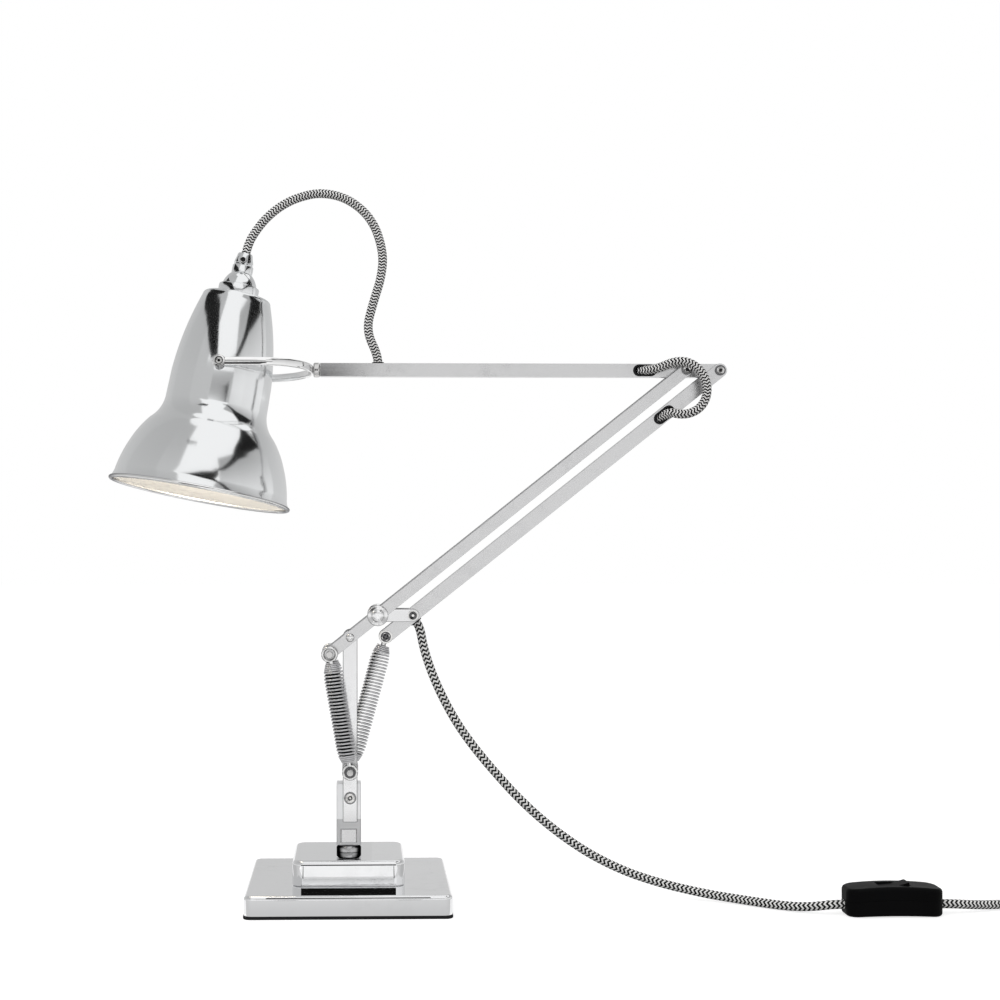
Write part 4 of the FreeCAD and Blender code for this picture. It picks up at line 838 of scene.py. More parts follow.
def settle(piece, angle=32.0, weighted=False):
    """Put a piece's place into its mesh and smooth it up to an angle."""
    only(piece)
    bpy.ops.object.transform_apply(location=True, rotation=True, scale=True)
    bpy.ops.object.shade_smooth_by_angle(angle=math.radians(angle))
    if weighted:
        apply_modifier(piece, "WEIGHTED_NORMAL", keep_sharp=True, weight=60)
    clear()
    return piece


def rounded_slab(name, low, high, corner, edge, foot=0.0):
    """Square slab with round corners and rounded upper and lower rims."""
    clear()
    middle = (Vector(low) + Vector(high)) / 2
    bpy.ops.mesh.primitive_cube_add(size=1, location=middle, scale=Vector(high) - Vector(low))
    piece = named(name)
    bpy.ops.object.transform_apply(location=True, rotation=True, scale=True)
    pick(piece, "EDGE", lambda e: abs(e.verts[0].co.z - e.verts[1].co.z) > 1e-5)
    bpy.ops.mesh.bevel(offset=corner, offset_type="OFFSET", segments=12, affect="EDGES")
    for level, size in ((high[2], edge), (low[2], foot)):
        if size:
            pick(piece, "EDGE", lambda e: all(abs(v.co.z - level) < 1e-6 for v in e.verts))
            bpy.ops.mesh.bevel(offset=size, offset_type="OFFSET", segments=6, affect="EDGES")
    bpy.ops.object.mode_set(mode="OBJECT")
    return settle(piece, 40.0, True)


def arc(a, b, c, count):
    """Points of the arc through three profile points, without its first one."""
    (ax, ay), (bx, by), (cx, cy) = a, b, c
    d = 2 * (ax * (by - cy) + bx * (cy - ay) + cx * (ay - by))
    ux = ((ax * ax + ay * ay) * (by - cy) + (bx * bx + by * by) * (cy - ay) + (cx * cx + cy * cy) * (ay - by)) / d
    uy = ((ax * ax + ay * ay) * (cx - bx) + (bx * bx + by * by) * (ax - cx) + (cx * cx + cy * cy) * (bx - ax)) / d
    radius = math.hypot(ax - ux, ay - uy)
    first, last = math.atan2(ay - uy, ax - ux), math.atan2(cy - uy, cx - ux)
    middle = math.atan2(by - uy, bx - ux)
    sweep = (last - first) % (2 * math.pi)
    if (middle - first) % (2 * math.pi) > sweep:
        sweep -= 2 * math.pi
    return [(ux + radius * math.cos(first + sweep * i / count), uy + radius * math.sin(first + sweep * i / count))
            for i in range(1, count + 1)]


def turned(name, profile, steps=96, place=None, angle=32.0):
    """Turned piece: one point extruded along a profile of radius and height in millimetres, spun about Z."""
    clear()
    bpy.ops.mesh.primitive_plane_add(size=1)
    piece = named(name)
    bpy.ops.object.mode_set(mode="EDIT")
    bpy.ops.mesh.select_mode(type="VERT")
    bpy.ops.mesh.select_all(action="SELECT")
    bpy.ops.mesh.merge(type="CENTER")
    at = Vector((0, 0, 0))
    for index, (radius, height) in enumerate(profile):
        step = Vector((radius * MM, 0, height * MM)) - at
        if index:
            bpy.ops.mesh.extrude_vertices_move(TRANSFORM_OT_translate={"value": step})
        else:
            bpy.ops.transform.translate(value=step)
        at += step
    bpy.ops.mesh.select_all(action="SELECT")
    bpy.ops.mesh.spin(steps=steps, angle=2 * math.pi, center=(0, 0, 0), axis=(0, 0, 1))
    bpy.ops.mesh.select_all(action="SELECT")
    bpy.ops.mesh.remove_doubles(threshold=MERGE)
    bpy.ops.mesh.normals_make_consistent(inside=False)
    bpy.ops.object.mode_set(mode="OBJECT")
    if place:
        piece.matrix_world = place
    return settle(piece, angle)


def eased(source, width, finish, name=None, segments=2, angle=32.0, limit=35.0, rim=None):
    """Copy of a frame node with its triangles merged, its flats joined and its edges broken; it replaces the node."""
    piece = placed_mesh(name or source + "_dressed", frame["nodes"][source].data.copy())
    dress(piece, finish, *([rim] if rim else []))
    edit_all(piece)
    bpy.ops.mesh.remove_doubles(threshold=MERGE)
    bpy.ops.mesh.dissolve_limited(angle_limit=math.radians(0.6), delimit={"NORMAL"})
    bpy.ops.object.mode_set(mode="OBJECT")
    if piece.data.has_custom_normals:
        bpy.ops.mesh.customdata_custom_splitnormals_clear()
    if width:
        apply_modifier(piece, "BEVEL", width=width, segments=segments, limit_method="ANGLE",
                       angle_limit=math.radians(limit), use_clamp_overlap=True, material=1 if rim else -1)
    settle(piece, angle, True)
    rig.replaces(piece, source)
    return piece


def flat_bar(name, outline, y0, y1, edge, finish, rim):
    """Flat bar from an outline in X and Z, extruded between two Y levels, with broken edges of their own finish."""
    mesh = bpy.data.meshes.new(name)
    mesh.from_pydata([(x, y0, z) for x, z in outline], [], [tuple(range(len(outline)))])
    piece = dress(placed_mesh(name, mesh), finish, rim)
    edit_all(piece)
    bpy.ops.mesh.extrude_region_move(TRANSFORM_OT_translate={"value": (0, y1 - y0, 0)})
    bpy.ops.object.mode_set(mode="OBJECT")
    face_out(piece)
    # the broken edges take the rim finish, painted shade along them
    apply_modifier(piece, "BEVEL", width=edge, segments=2, limit_method="ANGLE", angle_limit=math.radians(50),
                   material=1)
    return settle(piece, 32.0, True)


def hollow(piece, cutter, finish):
    """Cut one piece out of another and finish the cut apart."""
    dress(cutter, finish)
    apply_modifier(piece, "BOOLEAN", object=cutter, operation="DIFFERENCE", solver="EXACT", material_mode="TRANSFER")
    bpy.data.objects.remove(cutter)
    return piece


def sink(piece, centre, direction, radius, depth, sides, finish="recess"):
    """Cut a socket or a round recess into a piece's face and finish it apart, by default in near-black painted shade.
    """
    clear()
    bpy.ops.mesh.primitive_cylinder_add(vertices=sides, radius=radius, depth=2 * depth, location=centre)
    cutter = named("socket_cutter")
    cutter.rotation_euler = Vector(direction).to_track_quat("Z", "X").to_euler()
    return hollow(piece, cutter, finish)


def heads(piece, source, rings, centre=None):
    """Recesses in both heads of a pin across the lamp: radius and depth in millimetres, sides and finish."""
    low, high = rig.box(source)
    middle = centre or (Vector(low) + Vector(high)) / 2
    for y in (low[1], high[1]):
        for radius, depth, sides, finish in rings:
            sink(piece, (middle.x, y, middle.z), (0, 1, 0), radius * MM, depth * MM, sides, finish)
    return settle(piece)


def both_faces(name, source, centre, inset, profile, steps, angle=32.0):
    """Turned pieces on both sides of the lamp, facing away from it, an inset in millimetres within a frame node."""
    low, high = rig.box(source)
    pair = []
    for y, turn in ((low[1] + inset * MM, 90), (high[1] - inset * MM, -90)):
        place = Matrix.Translation((centre.x, y, centre.z)) @ Matrix.Rotation(math.radians(turn), 4, "X")
        pair.append(turned(name + "_half", profile, steps, place, angle))
    return join(name, pair)


def spline_points(route, resolution=8):
    """Points along the smooth line that has a route of metres as its control points."""
    curve = bpy.data.curves.new("route", "CURVE")
    curve.dimensions = "3D"
    spline = curve.splines.new("NURBS")
    spline.points.add(len(route) - 1)
    for point, place in zip(spline.points, route):
        point.co = (*place, 1.0)
    spline.order_u = 3
    spline.use_endpoint_u = True
    spline.resolution_u = resolution
    holder = bpy.data.objects.new("route", curve)
    bpy.context.scene.collection.objects.link(holder)
    bpy.context.view_layer.update()
    line = bpy.data.meshes.new_from_object(holder.evaluated_get(bpy.context.evaluated_depsgraph_get()))
    points = [v.co.copy() for v in line.vertices]
    bpy.data.objects.remove(holder)
    bpy.data.curves.remove(curve)
    bpy.data.meshes.remove(line)
    return points


def run_length(points):
    """Length of a line of points."""
    return sum((b - a).length for a, b in zip(points, points[1:]))


def tube(name, points, radius, sides, start_at=0.0):
    """Round tube along points, closed at both ends, with a UV of metres along it and once round it."""
    headings = [(points[min(i + 1, len(points) - 1)] - points[max(i - 1, 0)]).normalized()
                for i in range(len(points))]
    across = headings[0].orthogonal().normalized()
    verts, faces, uvs = [], [], []
    stations, gone = [], start_at
    for i, (point, heading) in enumerate(zip(points, headings)):
        if i:
            gone += (point - points[i - 1]).length
            across = (across - heading * across.dot(heading)).normalized()
        stations.append(gone)
        other = heading.cross(across)
        for k in range(sides):
            a = 2 * math.pi * k / sides
            verts.append(point + (across * math.cos(a) + other * math.sin(a)) * radius)
    for i in range(len(points) - 1):
        for k in range(sides):
            n = (k + 1) % sides
            faces.append((i * sides + k, i * sides + n, (i + 1) * sides + n, (i + 1) * sides + k))
            uvs += [(stations[i], k / sides), (stations[i], (k + 1) / sides),
                    (stations[i + 1], (k + 1) / sides), (stations[i + 1], k / sides)]
    last = (len(points) - 1) * sides
    faces.append(tuple(reversed(range(sides))))
    faces.append(tuple(range(last, last + sides)))
    uvs += [(stations[0], 0.5)] * sides + [(stations[-1], 0.5)] * sides
    mesh = bpy.data.meshes.new(name)
    mesh.from_pydata(verts, [], faces)
    layer = mesh.uv_layers.new(name="Flex")
    for corner, uv in zip(layer.data, uvs):
        corner.uv = uv
    piece = placed_mesh(name, mesh)
    bpy.ops.object.shade_smooth_by_angle(angle=math.radians(60))
    clear()
    return piece


def join(name, pieces):
    """Join pieces into the first of them."""
    clear()
    for piece in pieces:
        piece.select_set(True)
    bpy.context.view_layer.objects.active = pieces[0]
    bpy.ops.object.join()
    made = named(name)
    clear()
    return made


def follow_bar(piece, end, anchor):
    """Let a soft piece on the lower arm keep its end on the rear bar, which is drawn back as the upper arm rises."""
    turn = math.radians(UPPER_RISE)
    reach = LINK_END - BOSS
    drawn = Vector((reach.x * math.cos(turn) + reach.z * math.sin(turn), 0,
                    reach.z * math.cos(turn) - reach.x * math.sin(turn))) - reach
    way = -drawn.normalized()
    share = drawn.length / (end - anchor).dot(way)
    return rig.squash(piece, "upper_arm_pivot", axis=way, anchor=anchor, keep=max(0.05, 1 - share))


# Pieces -----------------------------------------------------------------------------------------------------------

class LAMP_OT_base(bpy.types.Operator):
    """Square plated base: pad, plinth, riser and the collar of its spindle"""

    bl_idname = "lamp.base"
    bl_label = "Base"

    def execute(self, context):
        s = sizes()
        for name, source, corner, edge, foot, finish, slot in (
                ("pad", "base_pad", 0.0055, 0.0003, 0.0008, "rubber", "black_rubber"),
                ("plinth", "base_plinth", s.plinth_corner, s.plinth_edge, 0.0004, "base_chrome", "chrome"),
                ("riser", "base_riser", s.riser_corner, s.riser_edge, 0.0010, "base_chrome", "chrome")):
            piece = dress(rounded_slab(name, *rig.box(source), corner, edge, foot), finish)
            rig.ride(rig.slot(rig.replaces(piece, source), slot), "base")
        low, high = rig.box("spindle_collar")
        radius, base, top = (high[0] - low[0]) / 2 / MM, low[2] / MM, high[2] / MM
        bore = 4.2
        collar = turned("collar", [
            (bore, base), (radius - 0.3, base), (radius, base + 0.3), (radius, top - 2.2), (radius - 0.15, top - 1.9),
            (radius - 1.7, top - 0.2), (radius - 2.0, top), (bore, top), (bore, base)], 72)
        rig.ride(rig.slot(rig.replaces(dress(collar, "collar_plate"), "spindle_collar"), "chrome"), "base")
        return {"FINISHED"}


class LAMP_OT_post(bpy.types.Operator):
    """Swivel block, post plates and the bolts through them"""

    bl_idname = "lamp.post"
    bl_label = "Post"

    def execute(self, context):
        edge = sizes().bar_edge
        low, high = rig.box("swivel_block")
        block = dress(rounded_slab("block", low, high, 0.0008, 0.0006, 0.0005), "swivel_plate")
        panels = []
        frame_size, frame_rise = (0.0124, 0.0016, 0.0104), 0.0072
        panel_half, bottom, top = 0.0055, low[2] + 0.0020, low[2] + 0.0117
        outline = [(-panel_half, bottom), (panel_half, bottom), (panel_half, top), (-panel_half, top)]
        for side, y in ((1, low[1]), (-1, high[1])):
            clear()
            bpy.ops.mesh.primitive_cube_add(size=1, location=(0, y, low[2] + frame_rise), scale=frame_size)
            # the groove round each panel is finished in dark grey painted shade
            hollow(block, named("panel_cutter"), "edge_line")
            panels.append(flat_bar("panel", outline, y + side * 0.0003, y + side * 0.0009, 0.0001, "panel_plate",
                                   "edge_line"))
        block = join("block", [settle(block)] + panels)
        low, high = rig.box("post_plates")
        half = (high[0] - low[0]) / 2
        outline = [(low[0], low[2]), (high[0], low[2])]
        for i in range(25):
            a = math.pi * i / 24
            outline.append((MAIN_PIVOT.x + half * math.cos(a), MAIN_PIVOT.z + half * math.sin(a)))
        thick = 0.002
        plates = [flat_bar("plate", outline, y, y + side * thick, edge, "post_plate", "edge_line")
                  for side, y in ((1, low[1]), (-1, high[1]))]
        pieces = [
            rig.slot(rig.replaces(block, "swivel_block"), "chrome"),
            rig.slot(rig.replaces(join("post_plates_cut", plates), "post_plates"), "chrome"),
            eased("anchor_pin", PIN_EDGE, "turned_steel"),
        ]
        bolt = eased("clamp_bolt", PIN_EDGE, "edge_line")
        heads(bolt, "clamp_bolt",
              [(3.45, 0.2, 48, "pin_plate"), (1.8, 0.5, 32, "dark_steel"), (0.8, 1.0, 6, "pin_plate")])
        low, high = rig.box("main_pivot_pin")
        reach = (high[1] - low[1]) / MM
        head = [(2.6, 2.0), (3.1, 2.0), (3.1, 1.5), (2.9, 1.0), (2.4, 0.5), (1.5, 0.15), (0.0, 0.0)]
        profile = head[::-1] + [(r, reach - h) for r, h in head]
        place = Matrix.Translation((MAIN_PIVOT.x, high[1], MAIN_PIVOT.z)) @ Matrix.Rotation(math.radians(90), 4, "X")
        pivot = dress(turned("pivot_pin", profile, 48, place, 50.0), "eye_plate")
        pieces += [bolt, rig.replaces(pivot, "main_pivot_pin")]
        for piece in pieces:
            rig.ride(piece, "swivel")
        return {"FINISHED"}


class LAMP_OT_arms(bpy.types.Operator):
    """Strips, link plates, square tubes, their pins, bosses and grommets"""

    bl_idname = "lamp.arms"
    bl_label = "Arms"

    def execute(self, context):
        edge = sizes().bar_edge
        table = [
            ("lower_strips", edge, "bar_plate", "lower_arm"),
            ("spring_tail_pins", PIN_EDGE, "turned_steel", "lower_arm"),
            ("arm_spacers", THIN_EDGE, "turned_steel", "lower_arm"), ("link_plates", edge, "post_plate", "link"),
            ("rear_tube", edge, "bar_plate", "rear_bar"), ("rear_grommets", GROMMET_EDGE, "rubber", "rear_bar"),
            ("upper_tube", edge, "arm_plate", "upper_arm"), ("upper_grommet", GROMMET_EDGE, "rubber", "upper_arm"),
            ("cord_bush", GROMMET_EDGE, "rubber", "upper_arm"), ("upper_plugs", THIN_EDGE, "moulding", "upper_arm"),
        ]
        for source, width, finish, body in table:
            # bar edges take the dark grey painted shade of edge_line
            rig.ride(eased(source, width, finish, rim="edge_line" if width == edge else None), body)
        # the hex sockets of the light pins are finished in near-black painted shade
        socket = [(3.1, 0.35, 32, "dark_steel"), (1.1, 0.7, 6, "pin_plate")]
        light = [(2.9, 0.3, 32, "turned_steel"), (1.5, 0.8, 6, "recess")]
        for source, finish, body, rings, centre in (
                ("arm_pins", "dark_steel", "lower_arm", light, ELBOW),
                ("link_screws", "pin_plate", "rear_bar", socket, None),
                ("rear_pivot_pin", "dark_steel", "upper_arm", light, None)):
            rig.ride(heads(eased(source, PIN_EDGE, finish), source, rings, centre), body)
        piece = eased("rear_spring_pin", PIN_EDGE, "dark_steel")
        low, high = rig.box("rear_spring_pin")
        dimple_ring, dimple_r, dimple_depth = 1.9 * MM, 0.00115, 0.0003
        # the dimples are cut in near-black painted shade
        for y in (low[1], high[1]):
            for turn in (20, 110, 200, 290):
                a = math.radians(turn)
                way = Vector((math.cos(a), 0, math.sin(a))) * dimple_ring
                sink(piece, Vector((REAR_LOW.x, y, REAR_LOW.z)) + way, (0, 1, 0), dimple_r, dimple_depth, 10)
        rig.ride(settle(piece), "rear_bar")
        washers = both_faces("foot_washers", "rear_spring_pin", REAR_LOW, 0.6, [
            (2.5, 0.0), (5.0, 0.0), (5.15, 0.1), (5.0, 0.3), (4.5, 0.4), (2.5, 0.4), (2.5, 0.0)], 56)
        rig.ride(dress(washers, "pin_plate"), "rear_bar")
        boss = both_faces("boss_caps_turned", "boss_caps", BOSS, 4.8, [
            (0.0, 0.0), (7.6, 0.0), (7.8, 0.2), (7.8, 1.5), (7.5, 2.0), (6.9, 2.3), (5.6, 2.7), (4.9, 3.0), (4.6, 3.4),
            (4.2, 4.0), (3.5, 4.4), (2.4, 4.65), (1.2, 4.77), (0.0, 4.8)], 72, 50.0)
        dress(boss, "boss_plate")
        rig.ride(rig.slot(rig.replaces(boss, "boss_caps"), "chrome"), "lower_arm")
        return {"FINISHED"}


class LAMP_OT_springs(bpy.types.Operator):
    """Counterbalance springs of wound wire and the eyes that hold them"""

    bl_idname = "lamp.springs"
    bl_label = "Springs"

    def eye(self, pin, way, radius):
        """Ring of bent wire round a pin, with the shank that runs up into the spring's first turns."""
        clear()
        bpy.ops.mesh.primitive_torus_add(location=pin, rotation=(math.pi / 2, 0, 0), major_radius=radius,
                                         minor_radius=EYE_WIRE, major_segments=40, minor_segments=14)
        ring = settle(named("ring"), 60.0)
        points = [pin + way * (radius + 0.4 * i * MM) for i in range(11)]
        parts = [dress(ring, "eye_plate"), dress(tube("shank", points, SHANK_R, 14), "eye_plate")]
        # a dark bush between the eye and the pin paints the shade round the pin
        if radius <= 0.005:
            place = Matrix.Translation(pin) @ Matrix.Rotation(math.pi / 2, 4, "X")
            inner, outer, half = 2.7, radius / MM - 0.9, 0.8
            profile = [(inner, -half), (outer, -half), (outer, half), (inner, half), (inner, -half)]
            parts.append(dress(turned("bush", profile, 40, place, 30.0), "dark_steel"))
        return join("eye", parts)

    def wind(self, name, low, high, turns, begin=0.0, end=1.0):
        """Spring between two pins, or a part of it: close-wound cones at both ends and open turns between them."""
        s = sizes()
        axis = (high - low).normalized()
        side = axis.cross(Vector((0, 1, 0))).normalized()
        stand, cone, close = 7.4 * MM, 4, 1.36 * MM
        rise = ((high - low).length - 2 * (stand + cone * close)) / turns
        end_r, cone_r = 4.1 * MM, 6.0 * MM
        points = []
        per_turn = 24
        count = turns + 2 * cone
        for i in range(count * per_turn + 1):
            t = i / per_turn
            tight = min(t, cone) + max(0.0, t - turns - cone)
            past = min(t, count - t)
            ease = min(1.0, max(0.0, (past - cone) / 2.5))
            radius = end_r + (cone_r - end_r) * min(1.0, past / cone)
            radius += (s.spring_radius - cone_r) * ease * ease * (3 - 2 * ease)
            a = 2 * math.pi * t
            swing = side * math.cos(a) + Vector((0, 1, 0)) * math.sin(a)
            points.append(low + axis * (stand + tight * close + (t - tight) * rise) + swing * radius)
        points = points[round(begin * (len(points) - 1)):round(end * (len(points) - 1)) + 1]
        wire = dress(tube(name, points, s.wire_radius, 10), "spring_wire", "spring_shadow")
        # faces that turn towards the spring's axis take the near-black painted shade
        for face in wire.data.polygons:
            out = face.center - low
            out -= axis * out.dot(axis)
            face.material_index = 1 if face.normal.dot(out.normalized()) < -0.15 else 0
        return wire

    def execute(self, context):
        pair = []
        for label, y in (("near", -SPRING_SIDE), ("far", SPRING_SIDE)):
            shift = Vector((0, y, 0))
            pair.append(self.wind("spring_" + label, ANCHOR + shift, SPRING_TAIL + shift, OUTER_TURNS))
            # a near-black tube inside each outer spring paints the shade behind its turns; it is no real part
            shadow_core = [ANCHOR + shift + (SPRING_TAIL - ANCHOR) * (0.15 + 0.7 * i / 24) for i in range(25)]
            pair.append(dress(tube("core_" + label, shadow_core, SHADOW_CORE_R, 16), "spring_shadow"))
        outer = join("outer_spring_wire", pair)
        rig.slot(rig.replaces(outer, "outer_springs"), "spring_wire")
        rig.blend(outer, "swivel", "lower_arm", start=ANCHOR + (SPRING_TAIL - ANCHOR) * 0.4, end=SPRING_TAIL)
        middle = ANCHOR + (REAR_LOW - ANCHOR) * CENTRE_SPLIT
        lower = self.wind("centre_spring_wire", ANCHOR, REAR_LOW, CENTRE_TURNS, 0.0, CENTRE_SPLIT)
        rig.slot(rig.replaces(lower, "centre_spring"), "spring_wire")
        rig.blend(lower, "swivel", "lower_arm", start=ANCHOR, end=middle)
        upper = self.wind("centre_spring_top", ANCHOR, REAR_LOW, CENTRE_TURNS, CENTRE_SPLIT, 1.0)
        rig.slot(upper, "spring_wire")
        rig.ride(upper, "lower_arm")
        follow_bar(upper, REAR_LOW, middle)
        near, far = Vector((0, -SPRING_SIDE, 0)), Vector((0, SPRING_SIDE, 0))
        tall, short = SPRING_TAIL - ANCHOR, REAR_LOW - ANCHOR
        for source, body, radius, ends in (
                ("spring_feet", "swivel", 0.0050, [(ANCHOR + near, tall), (ANCHOR + far, tall), (ANCHOR, short)]),
                ("outer_spring_heads", "lower_arm", 0.0051, [(SPRING_TAIL + near, -tall), (SPRING_TAIL + far, -tall)]),
                ("centre_spring_head", "rear_bar", 0.0041, [(REAR_LOW, -short)])):
            eyes = join(source + "_bent", [self.eye(pin, way.normalized(), radius) for pin, way in ends])
            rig.ride(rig.slot(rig.replaces(eyes, source), "spring_wire"), body)
        return {"FINISHED"}


class LAMP_OT_shade(bpy.types.Operator):
    """Plated shade with its enamel lining, cap, cord grip, bulb and screws"""

    bl_idname = "lamp.shade"
    bl_label = "Shade"

    def wall(self, inset):
        """Profile from the lid to the bell's foot, moved inwards by an inset."""
        def at(r, z):
            return (r - inset, z)

        def bell(share, z, back=0.0):
            return at(NECK_R + (RIM_R - NECK_R) * share - back, z)

        crown_r, round_r, slant = 25.9, 3.0, math.sqrt(0.5)
        bend = round_r * (1 - slant)
        lid = at(crown_r - round_r + inset, LID_HEIGHT - inset)
        crown = at(crown_r, LID_HEIGHT - round_r - inset)
        corner = at(crown_r - bend + inset * slant, LID_HEIGHT - bend - inset * slant)
        neck_top, neck, waist = at(38.0, 88.5), at(NECK_R, 67.0), bell(0.2961, 49.8)
        shoulder, foot = bell(0.6908, 30.5), bell(0.9342, 6.0)
        line = [lid] + arc(lid, corner, crown, 8) + arc(crown, at(34.2, 118.0), neck_top, 22)
        line += [at(38.3, 77.8), neck] + arc(neck, bell(0.0855, 57.9), waist, 14)
        line += arc(waist, bell(0.5362, 39.7), shoulder, 12) + arc(shoulder, bell(0.9342, 18.25, 2.6), foot, 16)
        return line

    def execute(self, context):
        outer, inner = self.wall(0.0), self.wall(1.0)
        bead_r, bore = 1.5, 5.2
        bead = [(RIM_R + bead_r * math.cos(a), bead_r * math.sin(a)) for a in
                [math.radians(100 - i * 20) for i in range(17)]]
        profile = [(bore, LID_HEIGHT)] + outer + bead + inner[::-1]
        profile += [(bore, LID_HEIGHT - 1.0), (bore, LID_HEIGHT)]
        shell = turned("shade", profile, 160, SHADE_PLACE, 40.0)
        dress(shell, "chrome", "enamel", "rim_plate")
        inwards = SHADE_PLACE.inverted()
        turn = inwards.to_3x3()
        for face in shell.data.polygons:
            place, facing = inwards @ face.center, turn @ face.normal
            radial = Vector((place.x, place.y, 0))
            lined = facing.dot(radial.normalized()) < -0.02 or (facing.z < -0.7 and place.z > 0.1)
            face.material_index = 1 if lined and place.z > 1.3 * MM else 2 if place.z < 1.6 * MM else 0
        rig.ride(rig.slot(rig.replaces(shell, "shade_shell"), "chrome"), "shade")

        ring = turned("cap_ring", [
            (3.0, 152.6), (14.7, 152.6), (15.2, 153.0), (15.3, 153.5), (15.3, 159.4), (15.0, 160.2), (14.3, 160.6),
            (3.0, 160.6), (3.0, 152.6)], 96, SHADE_PLACE)
        dome = turned("cap_dome", [(3.0, 160.6), (12.7, 160.6), (13.0, 160.9)]
                      + arc((13.0, 160.9), (11.4, 165.2), (7.9, 169.8), 14) + [(3.0, 169.8), (3.0, 160.6)],
                      96, SHADE_PLACE, 50.0)
        grip = turned("grip", [
            (2.95, 169.8), (7.5, 169.8), (7.9, 170.2), (7.9, 175.6), (7.6, 176.2), (7.0, 176.6), (6.9, 177.4),
            (7.3, 177.9), (7.0, 179.8), (6.1, 182.8), (5.7, 184.8), (5.3, 185.6), (4.6, 185.8), (3.4, 185.8),
            (2.95, 185.3), (2.95, 169.8)], 72, SHADE_PLACE)
        for piece, source in ((ring, "shade_ring"), (dome, "shade_dome"), (grip, "cord_grip")):
            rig.ride(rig.slot(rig.replaces(dress(piece, "chrome"), source), "chrome"), "shade")
        screw = eased("grip_screw", PIN_EDGE, "eye_plate")
        # the grip screw's socket is near-black painted shade
        face = SHADE_PLACE @ (Vector((0, -9.5, 179.4)) * MM)
        settle(sink(screw, face, SHADE_TURN @ Vector((0, 1, 0)), 0.0019, 0.0018, 24))
        screws = eased("shade_screws", 0.0004, "eye_plate", segments=3)
        for side in (-1, 1):
            face = SHADE_PLACE @ (Vector((0, side * 44.0, PIVOT_HEIGHT)) * MM)
            # a near-black ring paints the shade round the screw head, and the hex socket is painted shade too
            for radius, depth, sides, finish in ((2.9, 0.5, 40, "recess"), (2.3, 0.6, 40, "pin_plate"),
                                                 (1.2, 1.3, 6, "recess")):
                sink(screws, face, SHADE_TURN @ Vector((0, 1, 0)), radius * MM, depth * MM, sides, finish)
        settle(screws)
        for piece in (screw, screws):
            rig.ride(piece, "shade")

        low, globe_r, throat_r = 107.6, 24.0, 17.2
        throat_z = low - 26.0
        globe = throat_z - math.sqrt(globe_r ** 2 - throat_r ** 2)
        glass = [(12.6, low - 0.2), (13.4, low - 3.0), (15.2, low - 13.0), (throat_r, throat_z)]
        begin = math.atan2(throat_z - globe, throat_r)
        for i in range(1, 24):
            a = begin - (begin + math.pi / 2) * i / 24
            glass.append((globe_r * math.cos(a), globe + globe_r * math.sin(a)))
        glass.append((0.0, globe - globe_r))
        thread = [(0.0, low + 25.0), (6.0, low + 25.0), (8.0, low + 23.0)]
        for i in range(6):
            z = low + 21.5 - i * 3.4
            thread += [(12.6, z), (11.7, z - 1.7)]
        thread += [(12.6, low)]
        bulb = turned("bulb_opal", thread + glass, 72, SHADE_PLACE, 40.0)
        dress(bulb, "opal", "brass")
        for face in bulb.data.polygons:
            face.material_index = 1 if (inwards @ face.center).z > (low - 0.1) * MM else 0
        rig.ride(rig.slot(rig.replaces(bulb, "bulb"), "bulb_glass"), "shade")
        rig.ride(eased("lampholder", 0.0005, "ceramic"), "shade")
        return {"FINISHED"}


